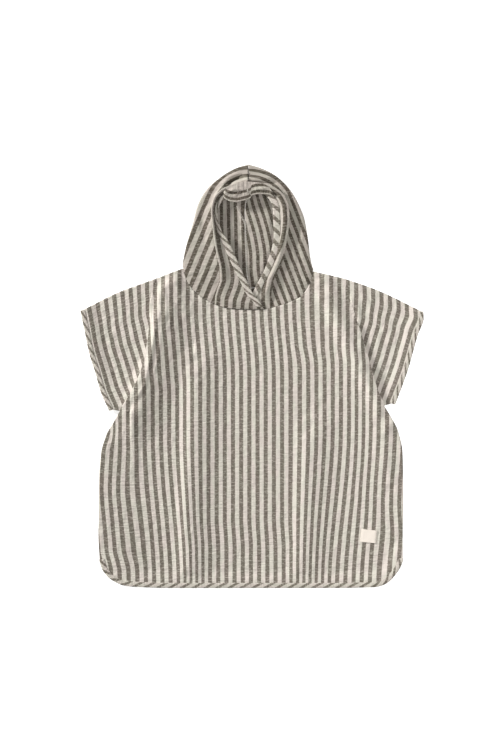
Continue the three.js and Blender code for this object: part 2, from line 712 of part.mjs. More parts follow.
// Stations of a binding along an edge of a panel that lies level there
function levelStations(line, width, z, inside) {
  return line.map(([x, y], i) => {
    const [ax, ay] = line[Math.max(0, i - 1)];
    const [bx, by] = line[Math.min(line.length - 1, i + 1)];
    const side = new THREE.Vector2(-(by - ay), bx - ax).normalize();
    if (side.dot(new THREE.Vector2(inside.x - x, inside.y - y)) < 0) side.negate();
    const edge = new THREE.Vector3(x, y, z);
    const inner = new THREE.Vector3(x + side.x * width, y + side.y * width, z);
    const up = new THREE.Vector3(0, 0, 1);
    return { edge, inner, edgeNormal: up, innerNormal: up };
  });
}

// Edge points of a grid's bound hem, from the left corner's start round to the right one
function hemPoints(grid, rows) {
  const first = rows.findIndex((down) => down >= HEM_CORNER_START);
  const left = [];
  const right = [];
  for (let r = first; r < rows.length - 1; r += 1) {
    const row = grid[r].filter((point) => point);
    left.push([row[0].x, row[0].y]);
    right.push([row.at(-1).x, row.at(-1).y]);
  }
  const bottom = grid.at(-1).filter((point) => point).map((point) => [point.x, point.y]);
  return [...left, ...bottom, ...right.reverse()];
}

function hemBinding(grid, rows, z) {
  return binding(levelStations(hemPoints(grid, rows), HEM_BINDING_WIDTH, z, HEM_INSIDE), false);
}

// Ring round a cuff: along the front's edge, round the underarm, along the back's edge, round the shoulder
function cuffBinding(side) {
  const cuffStations = (grid, count, up) => grid.slice(0, count).map((row) => {
    const [edge, next] = side === "left" ? row : [row.at(-1), row.at(-2)];
    const inner = edge.clone().addScaledVector(next.clone().sub(edge).normalize(), CUFF_BINDING_WIDTH);
    const normal = new THREE.Vector3(0, 0, up);
    return { edge: edge.clone(), inner, edgeNormal: normal, innerNormal: normal };
  });
  const front = cuffStations(frontGrid, ROWS_TO_ARMPIT.length, 1);
  const back = cuffStations(backGrid, BACK_ARMPIT_ROWS, -1);
  const radius = (FRONT_BOUND_MID - BACK_BOUND_MID) / 2;
  const turn = (frontStation, outwards, start) => {
    const steps = [];
    for (let i = 1; i < CUFF_TURN_STEPS; i += 1) {
      const angle = start + (Math.PI * i) / CUFF_TURN_STEPS;
      const normal = outwards.clone().multiplyScalar(Math.sin(angle)).setZ(Math.cos(angle));
      const shift = normal.clone().multiplyScalar(radius);
      shift.z += BACK_BOUND_MID + radius - FRONT_BOUND_MID;
      steps.push({
        edge: frontStation.edge.clone().add(shift),
        inner: frontStation.inner.clone().add(shift),
        edgeNormal: normal,
        innerNormal: normal,
      });
    }
    return steps;
  };
  const lower = front.at(-1).edge.clone().sub(front.at(-2).edge).setZ(0).normalize();
  const upper = front[0].edge.clone().sub(front[1].edge).setZ(0).normalize();
  const stations = [
    ...front,
    ...turn(front.at(-1), lower, 0),
    ...back.reverse(),
    ...turn(front[0], upper, 0).reverse(),
  ];
  return binding(stations, true);
}

// Strip round the face opening: up the left edge from the neck seam, over the crown and down the right edge
function hoodBinding() {
  const edgeStations = (grid, flip) => grid.map((row, r) => {
    const [inner, edge] = [row.at(-1 - BINDING_COLUMNS), row.at(-1)];
    const toward = inner.clone().sub(edge).normalize();
    const before = grid[Math.max(0, r - 1)].at(-1);
    const after = grid[Math.min(grid.length - 1, r + 1)].at(-1);
    const along = after.clone().sub(before).normalize();
    const normal = along.clone().cross(toward).normalize().multiplyScalar(flip);
    return {
      edge: edge.clone(),
      inner: edge.clone().addScaledVector(toward, Math.min(HOOD_BINDING_WIDTH, inner.distanceTo(edge))),
      edgeNormal: normal,
      innerNormal: normal,
    };
  });
  const left = edgeStations(hoodGrids.left, 1);
  const right = edgeStations(hoodGrids.right, -1)
    .filter((_, r) => HOOD_ROWS[r] >= RIGHT_BINDING_FROM && r < HOOD_ROWS.length - 1);
  return binding([...left.slice(1), ...right.reverse()], false);
}

// Label, a flat slab that lies a hair above the front
function label() {
  const geometry = new THREE.BoxGeometry(LABEL.width, LABEL.height, LABEL.thick);
  geometry.rotateZ(THREE.MathUtils.degToRad(LABEL.turn));
  const z = frontHeight(LABEL.x, LABEL.y) + CLOTH / 2 + LABEL_LIFT + LABEL.thick / 2;
  geometry.translate(LABEL.x, LABEL.y, z);
  return geometry;
}

function piece(name, geometry, color, roughness) {
  const mesh = new THREE.Mesh(geometry, new THREE.MeshStandardMaterial({ color, roughness, metalness: 0 }));
  mesh.name = name;
  return mesh;
}

const poncho = new THREE.Group();
poncho.add(
  piece("front_panel", wall(frontGrid, CLOTH), COLOURS.cloth, 0.95),
  piece("back_panel", wall(backGrid, CLOTH), COLOURS.cloth, 0.95),
  piece("hood_left", wall(hoodGrids.left, CLOTH), COLOURS.hood, 0.95),
  piece("hood_right", wall(hoodGrids.right, CLOTH), COLOURS.hood, 0.95),
  piece("hood_binding", hoodBinding(), COLOURS.binding, 0.92),
  piece("hem_binding_front", hemBinding(frontGrid, [...ROWS_TO_ARMPIT, ...ROWS_BELOW], FRONT_BOUND_MID),
    COLOURS.binding, 0.92),
  piece("hem_binding_back", hemBinding(backGrid, BACK_ROWS, BACK_BOUND_MID), COLOURS.binding, 0.92),
  piece("cuff_binding_left", cuffBinding("left"), COLOURS.binding, 0.92),
  piece("cuff_binding_right", cuffBinding("right"), COLOURS.binding, 0.92),
  piece("label", label(), COLOURS.label, 0.8),
);

// The origin lies under the middle of the whole outline
const middle = new THREE.Box3().setFromObject(poncho).getCenter(new THREE.Vector3());
poncho.position.set(-middle.x, -middle.y, 0);

export default poncho;
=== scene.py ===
"""Dresses a child's hooded bath poncho in striped crinkle cotton, laid flat with its face up.

The garment's own plan is in millimetres, with X to the viewer's right, Y towards the hood and Z up from
the surface. Every piece is moved into the frame and to metres when its mesh is made.
"""

from __future__ import annotations

import logging
import math
from dataclasses import dataclass, field
from enum import Enum
from typing import Callable, Sequence

import bpy
import numpy as np
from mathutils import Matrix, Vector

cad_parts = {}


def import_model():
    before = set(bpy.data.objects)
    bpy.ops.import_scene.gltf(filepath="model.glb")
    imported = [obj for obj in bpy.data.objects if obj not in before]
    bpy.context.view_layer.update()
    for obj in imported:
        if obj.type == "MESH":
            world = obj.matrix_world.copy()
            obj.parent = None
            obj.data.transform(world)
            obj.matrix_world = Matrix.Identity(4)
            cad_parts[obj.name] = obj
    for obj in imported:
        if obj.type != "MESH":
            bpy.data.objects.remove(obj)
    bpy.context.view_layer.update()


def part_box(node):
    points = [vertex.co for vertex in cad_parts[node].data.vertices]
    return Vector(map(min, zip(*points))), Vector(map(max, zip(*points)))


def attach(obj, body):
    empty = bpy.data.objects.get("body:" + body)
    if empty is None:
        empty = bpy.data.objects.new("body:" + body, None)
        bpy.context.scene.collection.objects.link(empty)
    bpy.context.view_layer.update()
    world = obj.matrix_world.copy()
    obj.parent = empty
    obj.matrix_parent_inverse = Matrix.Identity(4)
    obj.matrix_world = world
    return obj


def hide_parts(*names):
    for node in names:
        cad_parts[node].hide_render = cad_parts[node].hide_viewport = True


LOG = logging.getLogger("poncho")
BODY = "root"
MM = 0.001

# Levels of the cloth above the surface, as in the frame
CLOTH = 1.2
SHELL = 1.1
BINDING_REACH = 1.3
BINDING_HALF = CLOTH / 2 + BINDING_REACH
BACK_MID = CLOTH / 2
FRONT_MID = BACK_MID + CLOTH + 0.45
BACK_BOUND_MID = BINDING_HALF
FRONT_BOUND_MID = BACK_BOUND_MID + 2 * BINDING_HALF + 0.3
BOUND_FLAT = 11.0
BOUND_RAMP = 32.0

# Woven stripe, one dark and one light together
STRIPE_PITCH = 15.1

# Tuck where the body lies over each sleeve
TUCK_RADIUS = 0.85
TUCK_SHORTEST_ARC = 2.0
TUCK_DEPTH = 10.0
TUCK_START = 0.11
TUCK_CLOSED = 0.2
ARMPIT = 0.42
TUCK_FADE_ACROSS = 70.0
TUCK_FADE_DOWN = 0.16


class Side(Enum):
    """The viewer's side of the garment."""

    LEFT = "left"
    RIGHT = "right"

    @property
    def sign(self) -> int:
        """-1 on the left and 1 on the right."""
        return -1 if self is Side.LEFT else 1


def smooth(values: np.ndarray | float) -> np.ndarray:
    """Eases a share from 0 to 1.

    Args:
        values: shares, which may lie outside 0 to 1.

    Returns:
        The eased shares, from 0 to 1.
    """
    x = np.clip(values, 0.0, 1.0)
    return x * x * (3 - 2 * x)


def mix(low: np.ndarray | float, high: np.ndarray | float, share: np.ndarray | float) -> np.ndarray:
    """Value that lies the given share of the way from low to high.

    Args:
        low: value at share 0.
        high: value at share 1.
        share: share of the way.

    Returns:
        The mixed value.
    """
    return low + (high - low) * share


def curve_through(knots: Sequence[float], values: Sequence[float], at: np.ndarray | float) -> np.ndarray:
    """Smooth curve through points that doesn't overshoot them.

    Args:
        knots: places of the points, rising or falling.
        values: the curve's value at each knot.
        at: places to read the curve at, held to the knots' range.

    Returns:
        The curve's values, in the shape of at.
    """
    k = np.asarray(knots, float)
    v = np.asarray(values, float)
    if k[0] > k[-1]:
        k, v = k[::-1], v[::-1]
    span = np.diff(k)
    slope = np.diff(v) / span
    before, after = slope[:-1], slope[1:]
    total = np.where(before * after > 0, before + after, 1.0)
    inner = np.where(before * after > 0, 2 * before * after / total, 0.0)
    tangent = np.concatenate([slope[:1], inner, slope[-1:]])
    x = np.clip(np.asarray(at, float), k[0], k[-1])
    i = np.clip(np.searchsorted(k, x, side="right") - 1, 0, len(k) - 2)
    t = (x - k[i]) / span[i]
    return (
        (2 * t**3 - 3 * t**2 + 1) * v[i]
        + (t**3 - 2 * t**2 + t) * span[i] * tangent[i]
        + (3 * t**2 - 2 * t**3) * v[i + 1]
        + (t**3 - t**2) * span[i] * tangent[i + 1]
    )


class Table:
    """Rows of measures with named columns, in millimetres or shares."""

    def __init__(self, columns: str, *rows: tuple[float, ...]) -> None:
        """Keeps each column under its name.

        Args:
            columns: the columns' names, with spaces between them.
            rows: one tuple for each row, in the columns' order.
        """
        self.columns = dict(zip(columns.split(), np.array(rows, float).T))

    def __getitem__(self, name: str) -> np.ndarray:
        """All values of one column."""
        return self.columns[name]

    def at(self, key: str, column: str, place: np.ndarray | float) -> np.ndarray:
        """Smooth value of a column between rows.

        Args:
            key: the column that the rows are ordered by.
            column: the column to read.
            place: places on the key column.

        Returns:
            The column's values at those places.
        """
        return curve_through(self.columns[key], self.columns[column], place)

    def line(self, x: str = "x", y: str = "y") -> np.ndarray:
        """Two columns as the points of a line."""
        return np.stack([self.columns[x], self.columns[y]], axis=1)


def distance_to(line: np.ndarray, x: np.ndarray, y: np.ndarray) -> np.ndarray:
    """Distance in plan from points to a line of straight stretches.

    Args:
        line: the line's points, one row each.
        x: the points' X.
        y: the points' Y, in the same shape.

    Returns:
        The distances, in the shape of x.
    """
    nearest = np.full(np.shape(x), np.inf)
    for (ax, ay), (bx, by) in zip(line[:-1], line[1:]):
        length = max((bx - ax) ** 2 + (by - ay) ** 2, 1e-9)
        share = np.clip(((x - ax) * (bx - ax) + (y - ay) * (by - ay)) / length, 0, 1)
        nearest = np.minimum(nearest, np.hypot(x - mix(ax, bx, share), y - mix(ay, by, share)))
    return nearest


Edge = Callable[[np.ndarray], np.ndarray]


def blend_plan(near: Edge, far: Edge, start: Edge, end: Edge, across: np.ndarray, along: np.ndarray) -> np.ndarray:
    """Points in plan inside four edges.

    Args:
        near: edge at along 0, read by across.
        far: edge at along 1, read by across.
        start: edge at across 0, read by along.
        end: edge at across 1, read by along.
        across: shares across, one for each column.
        along: shares along, one for each row.

    Returns:
        Points with rows along and columns across.
    """
    u = across[None, :, None]
    v = along[:, None, None]
    zero, one = np.array([0.0]), np.array([1.0])
    sides = mix(near(across)[None], far(across)[None], v) + mix(start(along)[:, None], end(along)[:, None], u)
    low = mix(start(zero)[None], end(zero)[None], u)
    high = mix(start(one)[None], end(one)[None], u)
    return sides - mix(low, high, v)


@dataclass(frozen=True)
class Crease:
    """A soft ridge, or a trough where its height is negative.

    Its half width is another one on the viewer's right of the line where a trail is given.
    """

    height: float
    half: float
    line: tuple[tuple[float, float], ...]
    fade: float = 22.0
    trail: float = 0.0

    def lift(self, x: np.ndarray, y: np.ndarray) -> np.ndarray:
        """Height that the crease adds.

        Args:
            x: X of points in plan.
            y: Y of points in plan.

        Returns:
            The added heights, which fade out towards both ends of the line.
        """
        points = np.array(self.line, float)
        away = distance_to(points, x, y)
        reach = [np.hypot(x - end[0], y - end[1]) for end in (points[0], points[-1])]
        ends = smooth(np.minimum(reach[0], reach[1]) / self.fade)
        half = np.full(np.shape(x), self.half)
        if self.trail:
            upward = points[np.argsort(points[:, 1])]
            half = np.where(x > np.interp(y, upward[:, 1], upward[:, 0]), self.trail, half)
        return self.height * smooth(1 - away / half) * (0.25 + 0.75 * ends)


def lifted(creases: Sequence[Crease], x: np.ndarray, y: np.ndarray) -> np.ndarray:
    """Sum of what several creases add at points in plan.

    Args:
        creases: the creases.
        x: X of the points.
        y: Y of the points.

    Returns:
        The height that they add at each point.
    """
    total = np.zeros(np.shape(x))
    for crease in creases:
        total += crease.lift(x, y)
    return total


class Crinkle:
    """Even crumple of gauze, the sum of waves of many directions and lengths."""

    def __init__(self, seed: int, shortest: float, longest: float, stretch: float = 1.0, waves: int = 70) -> None:
        """Draws the waves.

        Args:
            seed: seed of the draw.
            shortest: shortest wave's length in millimetres.
            longest: longest wave's length in millimetres.
            stretch: how much longer the waves are along the stripes than across them.
            waves: the number of waves.
        """
        draw = np.random.default_rng(seed)
        length = shortest * (longest / shortest) ** draw.random(waves)
        turn = draw.random(waves) * 2 * math.pi
        self.across = 2 * math.pi * np.cos(turn) / length
        self.along = 2 * math.pi * np.sin(turn) / length / stretch
        self.phase = draw.random(waves) * 2 * math.pi
        self.weight = (length / longest) ** 0.7
        self.weight /= math.sqrt((self.weight**2).sum() / 2)

    def height(self, across: np.ndarray, along: np.ndarray) -> np.ndarray:
        """Crumple at places on the cloth.

        Args:
            across: place across the stripes in millimetres.
            along: place along the stripes in millimetres.

        Returns:
            Heights that are mostly from -2 to 2.
        """
        total = np.zeros(np.shape(across))
        for kx, ky, phase, weight in zip(self.across, self.along, self.phase, self.weight):
            total += weight * np.cos(kx * across + ky * along + phase)
        return total


@dataclass
class Garment:
    """Where the garment's plan lies in the frame."""

    shift: np.ndarray = field(default_factory=lambda: np.zeros(3))

    def place(self, points: np.ndarray) -> np.ndarray:
        """Moves points from the garment's plan to the frame.

        Args:
            points: points in millimetres.

        Returns:
            Points in metres.
        """
        return (np.asarray(points, float) + self.shift) * MM


def mesh_object(
    name: str, points: np.ndarray, faces: np.ndarray | list, garment: Garment, flat_from: int | None = None
) -> bpy.types.Object:
    """Makes a smooth mesh object.

    Args:
        name: the object's name.
        points: vertices in millimetres, in the garment's plan.
        faces: faces as rows of vertex numbers.
        garment: the garment's place.
        flat_from: number of the first face that stays flat, if any.

    Returns:
        The linked object.
    """
    mesh = bpy.data.meshes.new(name)
    mesh.from_pydata(garment.place(points).tolist(), [], faces if isinstance(faces, list) else faces.tolist())
    mesh.shade_smooth()
    if flat_from is not None:
        mesh.polygons.foreach_set("use_smooth", [i < flat_from for i in range(len(mesh.polygons))])
    mesh.validate()
    mesh.update()
    obj = bpy.data.objects.new(name, mesh)
    bpy.context.scene.collection.objects.link(obj)
    return obj


def give_cloth_places(obj: bpy.types.Object, cloth: np.ndarray) -> None:
    """Stores each vertex's place on the flat cloth for the materials.

    Args:
        obj: the piece.
        cloth: one row for each vertex: across the stripes, along them, and the layer, in millimetres.
    """
    attribute = obj.data.attributes.new("cloth", "FLOAT_VECTOR", "POINT")
    attribute.data.foreach_set("vector", (np.asarray(cloth, float) * MM).astype(np.float32).ravel())


@dataclass
class ClothGrid:
    """A grid of points with its places on the flat cloth. A point that isn't a number has no cloth."""

    points: np.ndarray
    cloth: np.ndarray

    def normals(self) -> np.ndarray:
        """Unit normals of the grid's points.

        Returns:
            One normal for each point, zero where there is no cloth.
        """
        p = np.nan_to_num(self.points)
        good = np.isfinite(self.points[..., 0])
        total = np.zeros_like(p)
        whole = good[:-1, :-1] & good[1:, :-1] & good[:-1, 1:] & good[1:, 1:]
        diagonal = p[1:, 1:] - p[:-1, :-1]
        other = p[1:, :-1] - p[:-1, 1:]
        face = np.cross(diagonal, other) * whole[..., None]
        for rows, columns in ((0, 0), (0, 1), (1, 0), (1, 1)):
            height, width = face.shape[:2]
            total[rows : rows + height, columns : columns + width] += face
        length = np.linalg.norm(total, axis=2, keepdims=True)
        return total / np.maximum(length, 1e-12)

    def shell(self, name: str, thickness: float, garment: Garment) -> bpy.types.Object:
        """Closed thin shell about the grid.

        Args:
            name: the object's name.
            thickness: the shell's thickness in millimetres.
            garment: the garment's place.

        Returns:
            The shell, with its places on the cloth stored.
        """
        good = np.isfinite(self.points[..., 0])
        number = np.full(good.shape, -1)
        number[good] = np.arange(good.sum())
        corners = [number[:-1, :-1], number[:-1, 1:], number[1:, 1:], number[1:, :-1]]
        quads = np.stack([c.ravel() for c in corners], axis=1)
        quads = quads[(quads >= 0).all(axis=1)]
        count = int(good.sum())
        points = self.points[good]
        shift = self.normals()[good] * thickness / 2
        outer, inner = points + shift, points - shift
        edges = np.concatenate([quads[:, [i, (i + 1) % 4]] for i in range(4)])
        keys = edges[:, 0] * count + edges[:, 1]
        back = edges[:, 1] * count + edges[:, 0]
        rim = edges[~np.isin(back, keys)]
        sides = np.stack([rim[:, 1], rim[:, 0], rim[:, 0] + count, rim[:, 1] + count], axis=1)
        faces = np.concatenate([quads, quads[:, ::-1] + count, sides])
        first = quads[len(quads) // 2]
        up = np.cross(outer[first[1]] - outer[first[0]], outer[first[3]] - outer[first[0]])
        if float(up @ shift[first[0]]) < 0:
            faces = faces[:, ::-1]
        obj = mesh_object(name, np.concatenate([outer, inner]), faces, garment, 2 * len(quads))
        give_cloth_places(obj, np.concatenate([self.cloth[good], self.cloth[good]]))
        return obj


# Edge of the body from the shoulder down the tuck and the side seam to the hem's corner
BODY_EDGE = Table(
    "down leftX leftY rightX rightY",
    (0.0, -170, 182.3, 170, 181),
    (0.11, -182.6, 129.6, 186, 122.3),
    (0.17, -183.5, 97, 196, 90),
    (0.27, -192, 37.5, 212, 38),
    (0.33, -202, 5, 221, 7),
    (0.38, -217, -27, 231, -25.3),
    (0.42, -238.4, -60.3, 243.4, -52.9),
    (0.46, -251, -84, 256, -75),
    (0.5, -264, -106, 269, -100),
    (0.55, -274, -140, 277.5, -138),
    (0.62, -278, -180, 279, -178),
    (0.72, -279.5, -243, 280, -236),
    (0.82, -280.5, -290, 279.5, -288),
    (0.91, -278.5, -338, 279.5, -336),
    (0.955, -274, -354.5, 274.5, -352),
    (1.0, -264.5, -368, 265.5, -365.5),
)
HEM_CORNER_START = 0.91
HEM_EDGE = Table(
    "x y",
    (-264.5, -368), (-257, -374.3), (-238, -383.6), (-219, -386.7), (-150, -389.2), (0, -389.2),
    (150, -389.2), (229, -387.6), (240, -385.3), (254, -378), (265.5, -365.5),
)

# Neck seam from the left neck point to the right one
NECK_LEFT = (-126.5, 199.0)
NECK_RIGHT = (115.5, 193.5)
FRONT_NECK = Table(
    "x y",
    NECK_LEFT, (-116, 172), (-101, 154), (-83, 141), (-60.5, 130), (-34, 124), (0, 122.8), (27, 124),
    (51, 130), (71, 137), (91.5, 147), (105, 165), NECK_RIGHT,
)
BACK_NECK = Table(
    "x y",
    NECK_LEFT, (-100, 184), (-60, 170), (-4, 163), (50, 169), (90, 181), NECK_RIGHT,
)

# Shoulders and cuffs, from the body outwards and from the shoulder to the underarm
SHOULDERS = {
    Side.LEFT: Table("x y", (-170, 182.3), (-210, 168), (-246, 154.5), (-304, 130)),
    Side.RIGHT: Table("x y", (170, 181), (209.5, 168), (245, 154), (307, 130.5)),
}
CUFFS = {
    Side.LEFT: Table(
        "along x y",
        (0, -313.5, 120.5), (0.22, -305.5, 82), (0.44, -297.5, 43), (0.64, -286.5, 8),
        (0.84, -275.5, -30), (1, -262, -60.5),
    ),
    Side.RIGHT: Table(
        "along x y",
        (0, 317, 118.5), (0.08, 317.3, 107), (0.26, 306.5, 76), (0.43, 298, 46), (0.61, 289, 14),
        (0.78, 278.5, -16), (1, 266, -48.5),
    ),
}

# Columns of the front from the neck or shoulder to the hem
FRONT_COLUMNS = Table(
    "place top hem",
    (0, -170, -264.5), (1, -148, -253), (2, -126.5, -236), (3, -119, -212), (4, -110, -184),
    (5, -98, -160), (6, -84, -141), (7, -68, -125), (8, -52, -109), (9, -34, -70), (10, 0, 0),
    (11, 27, 52), (12, 48, 94), (13, 62, 111), (14, 76, 128), (15, 91.5, 160), (16, 104, 200),
    (17, 115.5, 234), (18, 142, 252), (19, 170, 265.5),
)
BACK_COLUMNS = Table(
    "place top hem",
    (0, -170, -264.5), (1, -148, -253), (2, -126.5, -236), (3, -96, -184), (4, -50, -94), (5, 0, 0),
    (6, 46, 94), (7, 88, 176), (8, 115.5, 234), (9, 142, 252), (10, 170, 265.5),
)

# Soft folds of the front, the first two along the lines of the frame's own
BODY_FOLDS = (
    Crease(6.4, 28, ((-104, 30), (-106, -60), (-110, -150), (-118, -250), (-116, -376)), trail=64),
    Crease(5.2, 28, ((106, -95), (103, -170), (98, -250), (91, -376)), trail=66),
    Crease(2.4, 26, ((236, -86), (246, -130), (250, -185))),
)
FOLD_FADE_END = 45.0
NECK_LIFT = 0.9
NECK_LIFT_MIDDLE = -5.0
NECK_LIFT_HALF = 62.0


@dataclass(frozen=True)
class Drift:
    """How far a band of the front's stripes lies nearer the middle than on flat cloth, in millimetres.

    It grows from the inner to the outer distance from the middle, and from the first Y to the full one.
    """

    inward: float
    inner: float
    outer: float
    first_y: float
    full_y: float

    def at(self, away: np.ndarray, y: np.ndarray) -> np.ndarray:
        """What the drift adds.

        Args:
            away: distance from the middle towards the drift's side.
            y: Y of the points.

        Returns:
            The distances inwards.
        """
        across = smooth((away - self.inner) / (self.outer - self.inner))
        return self.inward * across * smooth((self.first_y - y) / (self.first_y - self.full_y))


# The stripes lean to the viewer's left, a little all the way down and more near the neck
LEAN = 3.0
LEAN_END = (-320.0, -260.0)
NECK_LEAN = 8.0
NECK_LEAN_END = (0.0, 130.0)
STRIPE_DRIFTS = {
    Side.LEFT: (
        # the lean ends beside the long fold
        Drift(3, 100, 140, 20, -30), Drift(-3, 100, 140, -260, -320), Drift(4, 160, 210, 0, 130),
        # the long fold gathers cloth towards the hem, and the corner lets some go
        Drift(18, 75, 140, -110, -390), Drift(-9.5, 180, 250, -120, -230), Drift(6, 180, 240, -320, -360),
        # the sleeve spreads, and the armpit pulls in
        Drift(-24, 215, 305, -30, 120), Drift(10, 240, 265, -45, -95), Drift(-10, 240, 265, -100, -140),
    ),
    Side.RIGHT: (
        Drift(-3, 60, 100, 60, 20), Drift(3, 60, 100, -260, -320), Drift(-8, 90, 150, 0, 130),
        Drift(23, 58, 155, -90, -410), Drift(-6, 225, 265, -230, -310),
        Drift(6, 175, 235, 140, 30), Drift(-6, 175, 235, -180, -300),
    ),
}
# First dark stripe's distance from each cuff's cut edge and the number that the cuff's stripes count from
CUFF_FIRST = {Side.LEFT: 14.4, Side.RIGHT: 13.4}
CUFF_COUNT = {Side.LEFT: -19.0, Side.RIGHT: 20.0}


class TuckSection:
    """Section of the tuck, as steps outwards and down from the body's edge to the start of the sleeve."""

    ARC_STEPS = 6
    FLAT_STEPS = 3

    def __init__(self, down: float) -> None:
        """Walks the section.

        Args:
            down: place down the body's edge.
        """
        turn = math.pi * float(smooth((down - TUCK_START) / (TUCK_CLOSED - TUCK_START)))
        depth = float(mix(1, TUCK_DEPTH, smooth((down - TUCK_CLOSED) / (ARMPIT - TUCK_CLOSED))))
        arc = max(TUCK_RADIUS * turn, TUCK_SHORTEST_ARC) / self.ARC_STEPS
        headings = [(turn * (i + 0.5) / self.ARC_STEPS, arc) for i in range(self.ARC_STEPS)]
        headings += [(turn, depth / self.FLAT_STEPS)] * self.FLAT_STEPS
        headings += [(turn * (1 - (i + 0.5) / self.ARC_STEPS), arc) for i in range(self.ARC_STEPS)]
        steps = np.array([(math.cos(h) * step, -math.sin(h) * step, step) for h, step in headings])
        walked = np.cumsum(steps, axis=0)
        self.out, self.rise, self.length = walked.T
        self.reach = float(self.out.max())
        self.drop = float(-self.rise[-1])


def body_edge(side: Side, down: np.ndarray | float) -> np.ndarray:
    """Points of the body's edge.

    Args:
        side: the viewer's side.
        down: places down the edge.

    Returns:
        The points, with X and Y last.
    """
    name = side.value
    return np.stack([BODY_EDGE.at("down", name + "X", down), BODY_EDGE.at("down", name + "Y", down)], axis=-1)


def unit(vector: np.ndarray) -> np.ndarray:
    """The vector at a length of 1."""
    return vector / max(float(np.linalg.norm(vector)), 1e-9)


def tuck_direction(side: Side, down: float) -> np.ndarray:
    """Direction in plan that the tuck's section follows.

    Args:
        side: the viewer's side.
        down: place down the body's edge.

    Returns:
        The direction, of length 1.
    """
    step = 0.01
    place = min(down, ARMPIT - step)
    along = body_edge(side, place + step) - body_edge(side, place - step)
    across = unit(np.array([-side.sign * along[1], side.sign * along[0]]))
    shoulder = SHOULDERS[side].line()
    start = unit(shoulder[1] - shoulder[0])
    return unit(mix(start, across, float(smooth(down / TUCK_START))))


def hem_line() -> np.ndarray:
    """Line of the bound hem from one corner's start to the other.

    Returns:
        The points of the line.
    """
    places = (1, 0.98, 0.955, 0.93, HEM_CORNER_START)
    left = [body_edge(Side.LEFT, p) for p in places[::-1]]
    right = [body_edge(Side.RIGHT, p) for p in places]
    return np.concatenate([left, HEM_EDGE.line()[1:-1], right])


BOUND_LINES = (hem_line(), CUFFS[Side.LEFT].line(), CUFFS[Side.RIGHT].line())


def bound_share(x: np.ndarray, y: np.ndarray) -> np.ndarray:
    """Share from 0 on plain cloth to 1 at a bound edge, at points in plan."""
    away = np.minimum.reduce([distance_to(line, x, y) for line in BOUND_LINES])
    return smooth((BOUND_RAMP - away) / (BOUND_RAMP - BOUND_FLAT))


def front_height(x: np.ndarray, y: np.ndarray) -> np.ndarray:
    """Height of the front's middle at points in plan, before the crumple and the smaller creases.

    Args:
        x: X of the points.
        y: Y of the points.

    Returns:
        The heights.
    """
    folds = np.zeros(np.shape(x))
    for fold in BODY_FOLDS:
        near_end = smooth((fold.line[0][1] + FOLD_FADE_END - y) / FOLD_FADE_END)
        folds += fold.lift(x, y) * near_end
    crossing = smooth(1 - np.hypot(x - NECK_LIFT_MIDDLE, y - FRONT_NECK.at("x", "y", 0.0)) / NECK_LIFT_HALF)
    return mix(FRONT_MID + folds, FRONT_BOUND_MID, bound_share(x, y)) + NECK_LIFT * crossing


# How far a seam reaches into the cloth beside it. Below the armpit, the end of the tuck lifts the seam: it
# starts over the first distance and has gone at the second.
SEAM_REACH = 24.0
ARMPIT_Y = -56.0
ARMPIT_START = 12.0
ARMPIT_FADE = 92.0


def seam_share(lines: Sequence[np.ndarray], x: np.ndarray, y: np.ndarray) -> np.ndarray:
    """How near points in plan are to seams.

    Args:
        lines: the seams' lines in plan.
        x: X of the points.
        y: Y of the points.

    Returns:
        From 0, beyond a seam's reach, to 1 on a seam.
    """
    nearest = np.min([distance_to(line, x, y) for line in lines], axis=0)
    return smooth(1 - nearest / SEAM_REACH)


def top_seams() -> list[np.ndarray]:
    """Lines of both shoulder seams and of the front's neck seam.

    Returns:
        The lines, each as points.
    """
    x = np.linspace(NECK_LEFT[0], NECK_RIGHT[0], 60)
    neck = np.stack([x, FRONT_NECK.at("x", "y", x)], axis=-1)
    return [neck, *(SHOULDERS[side].line() for side in Side)]


def side_seams() -> list[np.ndarray]:
    """Lines of both side seams, from the armpit down."""
    return [body_edge(side, np.linspace(ARMPIT, 0.95, 40)) for side in Side]


def underarm_seams() -> list[np.ndarray]:
    """Lines of both underarm seams, from the armpit to the cuff."""
    return [np.array([body_edge(side, np.array([ARMPIT]))[0], CUFFS[side].line()[-1]]) for side in Side]


def creased(creases: Sequence[Crease], x: np.ndarray, y: np.ndarray) -> np.ndarray:
    """What the front's creases add at points in plan. They end before the neck and shoulder seams.

    Args:
        creases: the creases.
        x: X of the points.
        y: Y of the points.

    Returns:
        The height that they add at each point.
    """
    return lifted(creases, x, y) * (1 - seam_share(top_seams(), x, y))


def back_height(x: np.ndarray, y: np.ndarray) -> np.ndarray:
    """Height of the back's middle at points in plan. It rises with the front at the seams that join them.

    Args:
        x: X of the points.
        y: Y of the points.

    Returns:
        The heights.
    """
    free = 1 - bound_share(x, y)
    sides = seam_share(side_seams(), x, y)
    joined = np.maximum(sides, seam_share(underarm_seams(), x, y))
    below = ARMPIT_Y - y
    tuck_end = TuckSection(ARMPIT).drop * smooth(below / ARMPIT_START) * (1 - smooth(below / ARMPIT_FADE))
    rise = joined * np.maximum(creased(FRONT_CREASES, x, y), 0) + sides * tuck_end
    return mix(BACK_MID, BACK_BOUND_MID, bound_share(x, y)) + free * rise


def stripe_number(x: np.ndarray, y: np.ndarray) -> np.ndarray:
    """Number of stripes from the middle of the front at points in plan.

    Args:
        x: X of the points.
        y: Y of the points.

    Returns:
        The numbers, whole in the middle of each dark stripe.
    """
    lean = LEAN * smooth((y - LEAN_END[0]) / (LEAN_END[1] - LEAN_END[0]))
    lean += NECK_LEAN * smooth((y - NECK_LEAN_END[0]) / (NECK_LEAN_END[1] - NECK_LEAN_END[0]))
    flat = x + lean
    for side, drifts in STRIPE_DRIFTS.items():
        for drift in drifts:
            flat = flat + side.sign * drift.at(side.sign * x, y)
    return flat / STRIPE_PITCH


